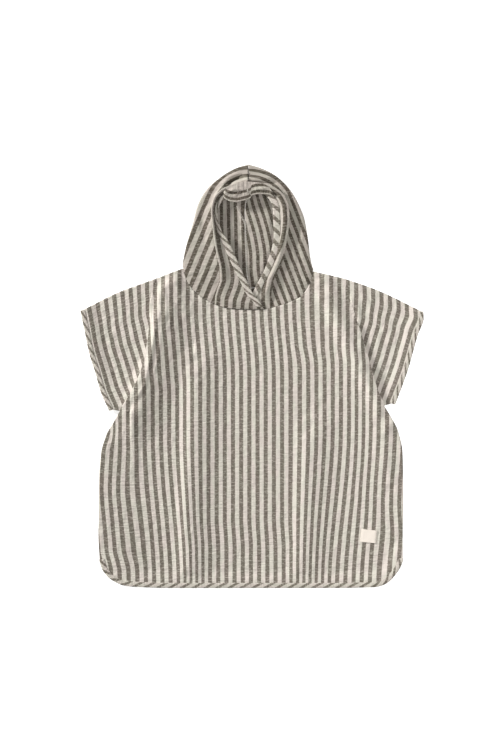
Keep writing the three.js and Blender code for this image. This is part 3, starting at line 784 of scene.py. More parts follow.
def cuff_number(side: Side, x: np.ndarray, y: np.ndarray) -> np.ndarray:
    """Stripe number on a sleeve, where the stripes run side by side with the cuff.

    Args:
        side: the viewer's side.
        x: X of the points.
        y: Y of the points.

    Returns:
        The numbers, which carry on from the body's.
    """
    away = distance_to(CUFFS[side].line(), x, y)
    return CUFF_COUNT[side] - side.sign * (away - CUFF_FIRST[side]) / STRIPE_PITCH


# From this distance from the middle the sleeves are crumpled more, by this share
SLEEVE_CRUMPLE_FROM = 185.0
SLEEVE_CRUMPLE = 1.0
# Below this share of the way down, the tuck's roll sinks right to the sleeve
TUCK_SINKS_FROM = 0.16


@dataclass(frozen=True)
class PanelCut:
    """What sets the front and the back panel apart."""

    name: str
    neck: Table
    columns: Table
    height: Callable[[np.ndarray, np.ndarray], np.ndarray]
    spacing: float
    tucked: bool
    crumple: float
    seed: int


class Panel:
    """Body and both sleeves, as one grid in which a sleeve's columns end at the armpit."""

    def __init__(self, cut: PanelCut, creases: Sequence[Crease]) -> None:
        """Lays out the panel's grid.

        Args:
            cut: the panel's cut.
            creases: soft folds beyond those of the frame.
        """
        self.cut = cut
        self.creases = creases
        length, width, sleeve = 572.0, 545.0, 140.0
        upper_rows = int(length * ARMPIT / cut.spacing)
        lower_rows = int(length * (1 - ARMPIT) / cut.spacing)
        self.armpit_rows = upper_rows + 1
        low = np.linspace(ARMPIT, 1, lower_rows + 1)[1:]
        self.rows = np.concatenate([np.linspace(0, ARMPIT, upper_rows + 1), low])
        self.across = np.linspace(0, 1, int(width / cut.spacing) + 1)
        self.sleeve_steps = np.linspace(0, 1, int(sleeve / cut.spacing) + 1)[1:]
        self.crinkle = Crinkle(cut.seed, 8.0, 26.0, stretch=1.6)
        self.grid = self.lay_out()

    def inset(self, down: float) -> float:
        """How far the tuck's roll stands out past the body's columns at one row.

        Args:
            down: the row's share of the way down.

        Returns:
            The distance.
        """
        if not self.cut.tucked:
            return 0.0
        return TuckSection(min(down, ARMPIT)).reach * float(1 - smooth((down - ARMPIT) / 0.03))

    def upper(self, share: np.ndarray) -> np.ndarray:
        """Upper edge: the shoulder's start, the neck seam and the other shoulder's start.

        Args:
            share: shares of the way across.

        Returns:
            The points at those shares.
        """
        columns = self.cut.columns
        x = columns.at("place", "top", share * columns["place"][-1])
        neck = self.cut.neck.at("x", "y", x)
        left, right = SHOULDERS[Side.LEFT].line()[0], SHOULDERS[Side.RIGHT].line()[0]
        y = np.where(x < NECK_LEFT[0], np.interp(x, [left[0], NECK_LEFT[0]], [left[1], NECK_LEFT[1]]), neck)
        y = np.where(x > NECK_RIGHT[0], np.interp(x, [NECK_RIGHT[0], right[0]], [NECK_RIGHT[1], right[1]]), y)
        return np.stack([x, y], axis=-1)

    def hem(self, share: np.ndarray) -> np.ndarray:
        """Lower edge.

        Args:
            share: shares of the way across.

        Returns:
            The points at those shares.
        """
        columns = self.cut.columns
        x = columns.at("place", "hem", share * columns["place"][-1])
        return np.stack([x, HEM_EDGE.at("x", "y", x)], axis=-1)

    def side_edge(self, side: Side) -> Edge:
        """Edge of the body's columns down one side.

        Args:
            side: the viewer's side.

        Returns:
            The edge, from shares of the way down.
        """

        def edge(down: np.ndarray) -> np.ndarray:
            """Points of the edge.

            Args:
                down: shares of the way down.

            Returns:
                The points at those shares.
            """
            points = body_edge(side, down)
            moves = [tuck_direction(side, float(d)) * self.inset(float(d)) for d in down]
            return points - np.array(moves)

        return edge

    def sleeve(self, side: Side) -> np.ndarray:
        """Plan of a sleeve from the body outwards.

        Args:
            side: the viewer's side.

        Returns:
            Points with the rows down to the armpit and the sleeve's columns.
        """
        cuff = CUFFS[side]
        tip = cuff.line()[0]
        shoulder = np.concatenate([SHOULDERS[side].line()[:-1], tip[None]])

        def start(share: np.ndarray) -> np.ndarray:
            """Sleeve's edge at the body.

            Args:
                share: shares of the way down to the armpit.

            Returns:
                The points at those shares.
            """
            points = []
            for down in share * ARMPIT:
                section = TuckSection(float(down))
                out = section.out[-1] - section.reach if self.cut.tucked else 0.0
                points.append(body_edge(side, down) + tuck_direction(side, float(down)) * out)
            return np.array(points)

        def end(share: np.ndarray) -> np.ndarray:
            """Sleeve's cut edge at the cuff."""
            return np.stack([cuff.at("along", "x", share), cuff.at("along", "y", share)], axis=-1)

        first = np.array([0.0])
        top_start, under_start, under_end = start(first)[0], start(first + 1)[0], end(first + 1)[0]

        def top(share: np.ndarray) -> np.ndarray:
            """Sleeve's edge along the shoulder."""
            x = mix(top_start[0], tip[0], share)
            return np.stack([x, curve_through(shoulder[:, 0], shoulder[:, 1], x)], axis=-1)

        def under(share: np.ndarray) -> np.ndarray:
            """Sleeve's edge under the arm."""
            return mix(under_start, under_end, share[:, None])

        down = self.rows[: self.armpit_rows] / ARMPIT
        return blend_plan(top, under, start, end, self.sleeve_steps, down)

    def crumpled(self, x: np.ndarray, y: np.ndarray, number: np.ndarray) -> np.ndarray:
        """Height of the panel with its creases and crumple, at points with known stripe numbers.

        Args:
            x: X of the points.
            y: Y of the points.
            number: stripe numbers of the points.

        Returns:
            The heights.
        """
        free = 1 - bound_share(x, y)
        on_sleeve = smooth((np.abs(x) - SLEEVE_CRUMPLE_FROM) / 30) * smooth((y + 70) / 30)
        crumple = self.crinkle.height(number * STRIPE_PITCH, y) * (1 + SLEEVE_CRUMPLE * on_sleeve)
        return self.cut.height(x, y) + free * (creased(self.creases, x, y) + self.cut.crumple * crumple)

    def lay_out(self) -> ClothGrid:
        """Makes the whole grid.

        Returns:
            The grid with the left sleeve's columns first.
        """
        plan = blend_plan(
            self.upper, self.hem, self.side_edge(Side.LEFT), self.side_edge(Side.RIGHT), self.across, self.rows
        )
        x, y = plan[..., 0], plan[..., 1]
        number = stripe_number(x, y)
        ends = {side: body_edge(side, self.rows)[:, 0] for side in Side}
        from_edge = np.minimum(x - ends[Side.LEFT][:, None], ends[Side.RIGHT][:, None] - x)
        fade = 1 - smooth((self.rows - ARMPIT) / TUCK_FADE_DOWN)
        drops = np.array([TuckSection(min(float(d), ARMPIT)).drop for d in self.rows]) * fade
        lift = drops[:, None] * smooth(1 - from_edge / TUCK_FADE_ACROSS) if self.cut.tucked else 0.0
        body = np.stack([x, y, self.crumpled(x, y, number) + lift], axis=-1)
        cloth = np.stack([number * STRIPE_PITCH, y, np.zeros_like(y)], axis=-1)
        left_points, left_cloth = self.arm(Side.LEFT, body[:, 0], cloth[:, 0])
        right_points, right_cloth = self.arm(Side.RIGHT, body[:, -1], cloth[:, -1])
        points = np.concatenate([left_points[:, ::-1], body, right_points], axis=1)
        places = np.concatenate([left_cloth[:, ::-1], cloth, right_cloth], axis=1)
        return ClothGrid(points, places)

    def arm(self, side: Side, edge: np.ndarray, edge_cloth: np.ndarray) -> tuple[np.ndarray, np.ndarray]:
        """Tuck and sleeve beyond the body's columns.

        Args:
            side: the viewer's side.
            edge: the body's last column on that side.
            edge_cloth: that column's places on the cloth.

        Returns:
            Points and places on the cloth, with no cloth below the armpit.
        """
        count = self.armpit_rows
        plan = self.sleeve(side)
        x, y = plan[..., 0], plan[..., 1]
        along = np.broadcast_to(edge_cloth[:count, 1:2], x.shape)
        by_cuff = cuff_number(side, x, y)
        steps = self.sleeve_steps[None, :]
        from_body = mix(edge_cloth[:count, :1] / STRIPE_PITCH, by_cuff[:, -1:], steps)
        tucked = smooth((self.rows[:count, None] - TUCK_START) / (TUCK_CLOSED - TUCK_START))
        number = mix(from_body, by_cuff, tucked)
        z = self.crumpled(x, y, number)
        sleeve = np.stack([x, y, z], axis=-1)
        cloth = np.stack([number * STRIPE_PITCH, along, np.zeros_like(y)], axis=-1)
        if self.cut.tucked:
            tuck, tuck_cloth = [], []
            for row in range(count):
                down = float(self.rows[row])
                section = TuckSection(down)
                direction = tuck_direction(side, down)
                base = edge[row]
                sinks = section.rise
                if down > TUCK_SINKS_FROM:
                    sinks = sinks * (base[2] - z[row, 0]) / max(section.drop, 1e-6)
                plan_x = base[0] + direction[0] * section.out
                plan_y = base[1] + direction[1] * section.out
                tuck.append(np.stack([plan_x, plan_y, base[2] + sinks], axis=-1))
                share = (section.length / section.length[-1])[:, None]
                tuck_cloth.append(mix(edge_cloth[row][None], cloth[row, 0][None], share))
            sleeve = np.concatenate([np.array(tuck), sleeve], axis=1)
            cloth = np.concatenate([np.array(tuck_cloth), cloth], axis=1)
        missing = len(self.rows) - count
        empty = np.full((missing, sleeve.shape[1], 3), np.nan)
        return np.concatenate([sleeve, empty]), np.concatenate([cloth, np.zeros_like(empty)])


# Hood halves. Each row across a half starts at the seam down the middle of the hood's back, lies on the
# surface, rolls over at the outline, climbs to the rim's ridge and drops to the face opening's edge.
HOOD_ROWS = {
    Side.LEFT: Table(
        "up backX backY outX outY ridgeX ridgeY edgeX edgeY",
        (0, -4, 163, -125.8, 201.5, -66, 132.4, 24, 123.8),
        (0.05, -5, 171, -125, 210, -65, 146, 14, 139),
        (0.1, -6, 180, -123.5, 219, -61, 159, 2, 154),
        (0.2, -8, 197, -119, 240, -54.5, 180, -8, 174),
        (0.3, -8.5, 215, -112.5, 263, -56, 200, -20, 199),
        (0.4, -9, 233, -105.5, 287, -61, 222, -31, 224),
        (0.5, -9.5, 252, -100, 309, -66, 250, -42, 247.6),
        (0.6, -10, 270, -91, 330, -69.5, 277, -56.5, 272),
        (0.7, -10.5, 287, -78, 348.5, -72, 304, -62.5, 297),
        (0.78, -11, 300, -62, 362, -68, 325, -59, 315),
        (0.86, -10, 314, -42, 376, -53, 343, -44, 331),
        (0.93, -8, 325, -22, 385.5, -30, 352, -25, 341),
        (1, -6, 334, -5, 390.5, -5, 357, -5, 345),
    ),
    Side.RIGHT: Table(
        "up backX backY outX outY ridgeX ridgeY edgeX edgeY",
        (0, -4, 163, 115, 196, 30, 124.6, -24, 123.4),
        (0.05, -5, 171, 112.5, 203, 29, 138, -10, 139),
        (0.1, -6, 180, 110.5, 211, 29, 152, 3, 154),
        (0.2, -8, 197, 107.5, 229, 33, 175, 13, 172),
        (0.3, -8.5, 215, 105.3, 248, 42, 195, 24, 192),
        (0.4, -9, 233, 102, 270, 51, 217, 33, 216),
        (0.5, -9.5, 252, 97.5, 292, 56, 241, 40, 238),
        (0.6, -10, 270, 87, 318, 60, 264, 43, 262),
        (0.7, -10.5, 287, 73, 342, 62.5, 289, 42, 287),
        (0.78, -11, 300, 58, 359, 61, 311, 41, 309),
        (0.86, -10, 314, 38, 374.5, 51, 334, 33, 328),
        (0.93, -8, 325, 16, 384.5, 28, 351, 16, 340),
        (1, -6, 334, -5, 390.5, -5, 357, -5, 345),
    ),
}
HOOD_HEIGHTS = Table(
    "up roll leftRidge leftEdge rightRidge rightEdge",
    (0, 0.83, 2.4, 4.4, 2.5, 2.5),
    (0.05, 1.3, 5, 7.8, 3.8, 3.5),
    (0.1, 1.8, 8, 7.9, 7, 3.7),
    (0.2, 2.4, 12, 8, 11, 6),
    (0.4, 3, 16, 9.5, 15, 9.5),
    (0.7, 3.2, 18, 11, 17, 11),
    (0.86, 3.2, 17, 11.5, 16, 11.5),
    (1, 3.2, 16, 11.5, 16, 11.5),
)
SEAM_GAP = 0.4
HOOD_DROP_LEVELS_AT = 0.45
CROWN_STEP_HEIGHT = 4.5
CROWN_STEP_FROM = 312.0
CROWN_STEP_TO = 330.0
CROWN_CENTRE = np.array([-5.0, 300.0])

# Fold along the rim, where the band next to the face opening lies over the hood's outer face
PLEAT_DEPTH = 6.0
PLEAT_RADIUS = 1.0
PLEAT_SHARE = 0.08
PLEAT_EASE = 0.13


@dataclass(frozen=True)
class HoodStripes:
    """How the stripes lie on one half of the hood, in degrees, millimetres and stripes."""

    lean: float
    side_pitch: float
    side_first: float
    top_pitch: float
    top_first: float
    band_first: tuple[float, float]
    inside_pitch: float
    inside_first: float
    inside_curl: float
    overhang: float


HOOD_STRIPES = {
    Side.LEFT: HoodStripes(
        lean=22.5, side_pitch=16.6, side_first=1.16, top_pitch=14.8, top_first=0.29, band_first=(5.5, 5.5),
        inside_pitch=13.3, inside_first=-0.34, inside_curl=0.0, overhang=0.0,
    ),
    Side.RIGHT: HoodStripes(
        lean=21.0, side_pitch=12.8, side_first=1.445, top_pitch=11.0, top_first=0.73, band_first=(13.5, 6.6),
        inside_pitch=13.1, inside_first=-0.61, inside_curl=17.0, overhang=7.0,
    ),
}


@dataclass(frozen=True)
class HoodZones:
    """How many steps the grid has across each zone of a hood half."""

    back: int = 44
    roll: int = 9
    climb: int = 64
    drop: int = 26
    rows: int = 130


@dataclass(frozen=True)
class HoodFolds:
    """Soft folds of a hood half: on its outer face, on its back and on the band round the face opening."""

    outer: tuple[Crease, ...] = ()
    inner: tuple[Crease, ...] = ()
    band: tuple[Crease, ...] = ()


class HoodHalf:
    """One half of the hood, from the seam down its back, round its outline and up to the face opening."""

    def __init__(self, side: Side, zones: HoodZones, folds: HoodFolds) -> None:
        """Lays out the half.

        Args:
            side: the viewer's side.
            zones: the grid's steps.
            folds: the half's soft folds.
        """
        self.side = side
        self.stripes = HOOD_STRIPES[side]
        self.table = HOOD_ROWS[side]
        self.zones = zones
        self.creases = folds.outer
        self.inner_creases = folds.inner
        self.band_creases = folds.band
        self.up = np.linspace(0, 1, zones.rows)
        self.crinkle = Crinkle(41 + side.sign, 7.0, 24.0, stretch=1.4)
        self.grid = self.lay_out()

    def place(self, name: str, up: np.ndarray) -> np.ndarray:
        """Points of one of the half's lines, such as out or ridge, at places up it."""
        return np.stack([self.table.at("up", name + "X", up), self.table.at("up", name + "Y", up)], axis=-1)

    def level(self, name: str) -> np.ndarray:
        """Heights of one of the half's lines, one for each row."""
        return HOOD_HEIGHTS.at("up", name, self.up)

    def aside(self, points: np.ndarray) -> np.ndarray:
        """The points moved half a seam's gap away from the other half."""
        return points + np.array([self.side.sign * SEAM_GAP / 2, 0.0])

    def outward(self, up: np.ndarray) -> np.ndarray:
        """Directions in plan that face out of the hood's outline.

        Args:
            up: shares of the way up the half.

        Returns:
            A direction of length 1 for each share.
        """
        step = 0.02
        ahead = self.place("out", np.minimum(1, up + step)) - self.place("out", np.maximum(0, up - step))
        normal = np.stack([self.side.sign * ahead[:, 1], -self.side.sign * ahead[:, 0]], axis=-1)
        normal /= np.linalg.norm(normal, axis=1, keepdims=True)
        crown = smooth((up - 0.9) / 0.1)[:, None]
        normal = mix(normal, np.array([0.0, 1.0]), crown)
        return normal / np.linalg.norm(normal, axis=1, keepdims=True)

    def inside(self, up: np.ndarray) -> np.ndarray:
        """Centre line of the roll at the outline."""
        roll = HOOD_HEIGHTS.at("up", "roll", up)[:, None]
        return self.aside(self.place("out", up) - self.outward(up) * roll)

    def sewn(self, name: str, neck: Table) -> Edge:
        """One of the half's lines, with its lowest point on the neck seam.

        Args:
            name: the line's name, such as edge.
            neck: the neck seam.

        Returns:
            The line, from shares of the way up.
        """

        def edge(up: np.ndarray) -> np.ndarray:
            """Points of the line.

            Args:
                up: shares of the way up.

            Returns:
                The points at those shares.
            """
            points = self.aside(self.place(name, up))
            seam = neck.at("x", "y", points[:, 0]) + SEAM_GAP
            points[:, 1] = np.where(up == 0, seam, points[:, 1])
            return points

        return edge

    @staticmethod
    def seam(neck: Table, start: np.ndarray, end: np.ndarray) -> Edge:
        """Neck seam between two points.

        Args:
            neck: the neck seam.
            start: first point.
            end: last point.

        Returns:
            The seam, from shares of the way along.
        """

        def edge(share: np.ndarray) -> np.ndarray:
            """Points of the seam.

            Args:
                share: shares of the way along.

            Returns:
                The points at those shares.
            """
            x = mix(start[0], end[0], share)
            y = neck.at("x", "y", x) + SEAM_GAP
            y = np.where(share == 0, start[1], np.where(share == 1, end[1], y))
            return np.stack([x, y], axis=-1)

        return edge

    @staticmethod
    def straight(start: np.ndarray, end: np.ndarray) -> Edge:
        """Straight edge between two points."""
        return lambda share: mix(start, end, share[:, None])

    def zone(self, neck: Table, near: Edge, far: Edge, steps: int) -> tuple[np.ndarray, np.ndarray]:
        """Plan of the cloth between two of the half's lines.

        Args:
            neck: neck seam at the lower end.
            near: line nearer to the seam down the hood's back.
            far: the other line.
            steps: steps from near to far.

        Returns:
            The points, and the share from near to far of each column.
        """
        zero, one = np.array([0.0]), np.array([1.0])
        low = self.seam(neck, near(zero)[0], far(zero)[0])
        high = self.straight(near(one)[0], far(one)[0])
        share = np.linspace(0, 1, steps + 1)
        return blend_plan(low, high, near, far, share, self.up), share

    def inward(self, up: np.ndarray) -> np.ndarray:
        """Directions in plan from the rim's ridge to the face opening's edge."""
        ahead = self.place("edge", up) - self.place("ridge", up)
        return ahead / np.linalg.norm(ahead, axis=1, keepdims=True)

    def fold(self, up: np.ndarray) -> np.ndarray:
        """Line of the fold where the band's outer side lies over the outer face.

        Args:
            up: shares of the way up the half.

        Returns:
            The points at those shares.
        """
        crown = 1 - smooth((up - 0.84) / 0.12)
        over = (self.stripes.overhang * crown)[:, None]
        points = self.aside(self.place("ridge", up)) - self.inward(up) * over
        seam = FRONT_NECK.at("x", "y", points[:, 0]) + SEAM_GAP
        points[:, 1] = np.where(up == 0, seam, points[:, 1])
        return points

    def inner_face(self) -> tuple[np.ndarray, np.ndarray]:
        """Hood's back, seen through the face opening.

        Returns:
            The points and their stripe numbers.
        """
        back = self.sewn("back", BACK_NECK)
        plan, share = self.zone(BACK_NECK, back, self.inside, self.zones.back)
        x, y = plan[..., 0], plan[..., 1]
        curl = self.stripes.inside_curl * np.maximum(0, (y - 225) / 82) ** 1.5
        aside = np.abs(x - back(self.up)[:, :1]) + curl
        number = (aside / self.stripes.inside_pitch + self.stripes.inside_first) * self.side.sign
        crown = smooth((y - CROWN_STEP_FROM) / (CROWN_STEP_TO - CROWN_STEP_FROM))
        near_roll = 1 - smooth((share - 0.5) * 2)
        free = smooth(share * 12) * (1 - smooth((share - 0.8) * 5))
        wave = self.crinkle.height(number * STRIPE_PITCH, y)
        rise = np.maximum(0, lifted(self.inner_creases, x, y) + 0.45 * wave)
        z = BACK_MID + 0.12 + CROWN_STEP_HEIGHT * crown * near_roll + free * rise
        return np.dstack([x, y, z]), number

    def outer_face(self) -> tuple[np.ndarray, np.ndarray]:
        """Outer face, from the roll at the outline to below the band's fold.

        Returns:
            The points and their stripe numbers.
        """
        plan, share = self.zone(FRONT_NECK, self.inside, self.fold, self.zones.climb)
        x, y = plan[..., 0], plan[..., 1]
        number = self.outer_number(x, y)
        low = BACK_MID + 2 * self.level("roll")[:, None]
        high = (self.fold_level() - 4 * self.pleat_radius())[:, None]
        z = mix(low, high, np.sin(share * math.pi / 2) ** 2)
        free = smooth(share * 6) * smooth(self.up / 0.05)[:, None] * (1 - smooth((share - 0.93) / 0.07))
        wave = self.crinkle.height(number * STRIPE_PITCH, y)
        return np.dstack([x, y, z + free * (lifted(self.creases, x, y) + 0.3 * wave)]), number

    def pleat_radius(self) -> np.ndarray:
        """Radius of the fold's turns, one for each row."""
        return PLEAT_RADIUS * (0.2 + 0.8 * smooth(self.up / PLEAT_EASE))

    def fold_level(self) -> np.ndarray:
        """Height of the band at its fold, one for each row."""
        low = 1.6 if self.stripes.overhang else 0.0
        return self.level(self.side.value + "Ridge") - low * smooth(self.up / PLEAT_EASE)

    def pleat(self, start: np.ndarray) -> np.ndarray:
        """Hidden layers below the band's fold.

        Args:
            start: the outer face's last column.

        Returns:
            The columns between the outer face and the band.
        """
        width = np.linalg.norm(self.place("edge", self.up) - self.place("ridge", self.up), axis=1)
        depth = np.minimum(PLEAT_DEPTH * (0.08 + 0.92 * smooth(self.up / PLEAT_EASE)), PLEAT_SHARE * width)
        radius = self.pleat_radius()
        turns = np.linspace(-math.pi / 2, math.pi / 2, 7)
        steps: list[tuple[np.ndarray, np.ndarray]] = [(depth * share, 0 * radius) for share in (0.35, 0.7)]
        steps += [(depth + radius * math.cos(a), radius * (1 + math.sin(a))) for a in turns]
        steps += [(depth * share, 2 * radius) for share in (0.7, 0.35)]
        steps += [(-radius * math.cos(a), radius * (3 + math.sin(a))) for a in turns[:-1]]
        inward = self.inward(self.up)
        columns = []
        for reach, rise in steps:
            plan = [start[:, axis] + inward[:, axis] * reach for axis in range(2)]
            columns.append(np.stack([*plan, start[:, 2] + rise], axis=1))
        return np.stack(columns, axis=1)

    def band(self) -> tuple[np.ndarray, np.ndarray]:
        """Band between the fold and the face opening's edge.

        Returns:
            The points and their stripe numbers.
        """
        edge = self.sewn("edge", FRONT_NECK)
        plan, share = self.zone(FRONT_NECK, self.fold, edge, self.zones.drop)
        x, y = plan[..., 0], plan[..., 1]
        length = np.linalg.norm(plan[:, -1] - plan[:, 0], axis=1)[:, None]
        crown = 1 - smooth((self.up - 0.84) / 0.12)
        rim = (self.stripes.overhang * crown)[:, None] / length
        ridge_z, edge_z = (self.level(self.side.value + name)[:, None] for name in ("Ridge", "Edge"))
        start = self.fold_level()[:, None]
        beyond = np.clip((share - rim) / (1 - rim), 0, 1)
        rising = smooth(share / np.maximum(rim, 1e-3))
        falling = mix(ridge_z, edge_z, smooth(beyond / HOOD_DROP_LEVELS_AT))
        z = np.where(share < rim, mix(start, ridge_z, rising), falling)
        run = distance_to(self.fold(np.linspace(0, 1, 60)), x, y)
        number = (run - mix(*self.stripes.band_first, smooth((y - 212) / 40))) / STRIPE_PITCH
        wave = self.crinkle.height(number * STRIPE_PITCH + 300, y)
        free = smooth(share * 5) * (1 - smooth((share - 0.6) / 0.2)) * smooth(self.up / 0.08)[:, None]
        return np.dstack([x, y, z + free * (0.25 * wave + lifted(self.band_creases, x, y))]), number

    def roll(self, inside_number: np.ndarray, outside_number: np.ndarray) -> tuple[np.ndarray, np.ndarray]:
        """Turn of the cloth round the hood's outline, between the inner and the outer face.

        Args:
            inside_number: the inner face's last stripe numbers.
            outside_number: the outer face's first ones.

        Returns:
            The points and their stripe numbers.
        """
        share = np.arange(1, self.zones.roll) / self.zones.roll
        radius = self.level("roll")[:, None]
        out = radius * np.sin(math.pi * share)
        plan = self.inside(self.up)[:, None] + self.outward(self.up)[:, None] * out[..., None]
        z = BACK_MID + radius * (1 - np.cos(math.pi * share))
        walked = self.side.sign * (1 - share) * math.pi * radius / STRIPE_PITCH
        number = mix(outside_number[:, None] + walked, inside_number[:, None], (1 - share) ** 8)
        return np.dstack([plan, z]), number

    def lay_out(self) -> ClothGrid:
        """Makes the whole half.

        Returns:
            The grid, with its rows up the half.
        """
        inner, inner_number = self.inner_face()
        outer, outer_number = self.outer_face()
        band, band_number = self.band()
        roll, roll_number = self.roll(inner_number[:, -1], outer_number[:, 0])
        pleat = self.pleat(outer[:, -1])
        share = np.linspace(0, 1, pleat.shape[1])[None, :]
        pleat_number = mix(outer_number[:, -1:], band_number[:, :1], smooth(share * 3 - 0.5))
        points = np.concatenate([inner, roll, outer, pleat, band], axis=1)
        number = np.concatenate([inner_number, roll_number, outer_number, pleat_number, band_number], axis=1)
        cloth = np.dstack([number * STRIPE_PITCH, points[..., 1], np.zeros_like(number)])
        return ClothGrid(points, cloth)

    def outer_number(self, x: np.ndarray, y: np.ndarray) -> np.ndarray:
        """Stripe numbers of the outer face, level at the crown and turning to run down the side.

        Args:
            x: X of points in plan.
            y: Y of points in plan.

        Returns:
            The numbers.
        """
        s = self.stripes
        across, up = (x - CROWN_CENTRE[0]) * self.side.sign, y - CROWN_CENTRE[1]
        lean = math.radians(s.lean)
        angle = np.arctan2(up, across)
        down_side = across * math.cos(lean) + up * math.sin(lean)
        distance = np.where(angle >= math.pi / 2, up, np.where(angle >= lean, np.hypot(across, up), down_side))
        turn = smooth((angle - lean) / (math.pi / 2 - lean))
        number = mix(distance / s.side_pitch + s.side_first, distance / s.top_pitch + s.top_first, turn)
        return number * self.side.sign


@dataclass(frozen=True)
class StripSize:
    """Measures of a folded strip round an edge of cloth."""

    width: float
    cloth: float = 1.0
    gap: float = 0.3
    lean: float = 1.8


class Strip:
    """Folded strip swept round an edge of cloth."""

    def __init__(self, size: StripSize) -> None:
        """Keeps the strip's measures.

        Args:
            size: the strip's measures.
        """
        self.size = size

    def section(self) -> np.ndarray:
        """Section round the fold.

        Returns:
            Rows of the share towards the inner point, the height along the normal, the reach out past the
            edge, and the distance walked round the outside.
        """
        near = CLOTH / 2 + self.size.gap * 0.3
        far = CLOTH / 2 + self.size.gap + self.size.cloth
        width = self.size.width
        rows = []
        for share in (1.0, 0.97, 0.9, 0.75, 0.55, 0.35, 0.18, 0.06):
            puff = 0.88 + 0.12 * math.sin(math.pi * min(1.0, share + 0.12))
            droop = 0.5 if share == 1.0 else (0.8 if share == 0.97 else 1.0)
            rows.append((share, mix(near, far * puff, droop), 0.0, -share * width))
        for step in range(1, 6):
            angle = math.pi * step / 6
            rows.append((0.0, far * math.cos(angle) * 0.98, (self.size.gap + self.size.cloth) * math.sin(angle), 0.0))
        outer = rows + [(s, -h, r, -d) for s, h, r, d in rows[:8][::-1]]
        hidden = near * 0.9
        inner = [(1.0, -hidden, 0.0, width), (0.5, -hidden, 0.0, 0.0)]
        inner += [(0.5, hidden, 0.0, 0.0), (1.0, hidden, 0.0, -width)]
        return np.array(outer + inner)

    def sweep(
        self, name: str, stations: Sequence[tuple[np.ndarray, np.ndarray, np.ndarray]], closed: bool, garment: Garment
    ) -> bpy.types.Object:
        """Sweeps the section along an edge.

        Args:
            name: the object's name.
            stations: edge point, inner point and normal at each place along the edge.
            closed: whether the last station meets the first.
            garment: the garment's place.

        Returns:
            The strip, with its places on the cloth stored.
        """
        section = self.section()
        count = len(section)
        points, cloth = [], []
        walked = 0.0
        last = None
        for edge, inner, normal, *lean in stations:
            if last is not None:
                walked += float(np.linalg.norm(edge - last))
            last = edge
            out = unit(edge - inner)
            base = edge + (inner - edge) * section[:, :1]
            points.append(base + normal * section[:, 1:2] + out * section[:, 2:3])
            spread = lean[0] if lean else self.size.lean
            cloth.append(np.stack([section[:, 3] * spread, np.full(count, walked), np.ones(count)], axis=-1))
        total = len(points)
        faces: list[tuple[int, ...]] = []
        for s in range(total if closed else total - 1):
            here, there = s * count, (s + 1) % total * count
            for k in range(count):
                nxt = (k + 1) % count
                faces.append((here + k, here + nxt, there + nxt, there + k))
        if not closed:
            faces.append(tuple(range(count))[::-1])
            faces.append(tuple(range((total - 1) * count, total * count)))
        flat = np.concatenate(points)
        quad = faces[count // 2]
        centre = flat[:count].mean(axis=0)
        face_normal = np.cross(flat[quad[1]] - flat[quad[0]], flat[quad[3]] - flat[quad[0]])
        if float(face_normal @ (flat[quad[0]] - centre)) < 0:
            faces = [face[::-1] for face in faces]
        obj = mesh_object(name, flat, faces, garment)
        give_cloth_places(obj, np.concatenate(cloth))
        return obj


class Stitching:
    """Threads laid on cloth."""

    def __init__(self, radius: float) -> None:
        """Starts without threads.

        Args:
            radius: the thread's radius.
        """
        self.radius = radius
        self.points: list[np.ndarray] = []
        self.faces: list[tuple[int, ...]] = []
        self.cloth: list[np.ndarray] = []

    def add(self, path: np.ndarray) -> None:
        """Adds a thread along a path.

        Args:
            path: its points, in millimetres.
        """
        sides = 6
        first = sum(len(ring) for ring in self.points)
        ahead = np.gradient(path, axis=0)
        run = 0.0
        for i, (point, along) in enumerate(zip(path, ahead)):
            run += float(np.linalg.norm(path[i] - path[i - 1])) if i else 0.0
            aside = unit(np.cross(along, [0, 0, 1]))
            over = unit(np.cross(aside, along))
            angles = np.arange(sides) * 2 * math.pi / sides
            ring = point + self.radius * (np.cos(angles)[:, None] * aside + np.sin(angles)[:, None] * over)
            self.points.append(ring)
            self.cloth.append(np.stack([angles * self.radius, np.full(sides, run), np.zeros(sides)], axis=1))
        for i in range(len(path) - 1):
            for k in range(sides):
                a, b = first + i * sides + k, first + i * sides + (k + 1) % sides
                self.faces.append((a, b, b + sides, a + sides))
        last = first + (len(path) - 1) * sides
        self.faces.append(tuple(range(first + sides - 1, first - 1, -1)))
        self.faces.append(tuple(range(last, last + sides)))

    def build(self, name: str, garment: Garment) -> bpy.types.Object:
        """Makes the object.

        Args:
            name: its name.
            garment: the garment's place.

        Returns:
            The object, with its places on the cloth stored.
        """
        obj = mesh_object(name, np.concatenate(self.points), self.faces, garment)
        give_cloth_places(obj, np.concatenate(self.cloth))
        return obj


def stitched(line: np.ndarray, stitch: float, gap: float, sink: float) -> list[np.ndarray]:
    """Running stitches along a line.

    Args:
        line: points of the line.
        stitch: one stitch's length.
        gap: distance between two stitches.
        sink: how far a stitch's ends go down.

    Returns:
        The path of each stitch.
    """
    run = np.concatenate([[0], np.cumsum(np.linalg.norm(np.diff(line, axis=0), axis=1))])
    paths = []
    start = 0.0
    while start + stitch <= run[-1]:
        places = start + np.linspace(0, stitch, 6)
        path = np.stack([np.interp(places, run, line[:, i]) for i in range(3)], axis=1)
        path[:, 2] -= sink * (1 - np.sin(np.linspace(0, math.pi, 6)))
        paths.append(path)
        start += stitch + gap
    return paths


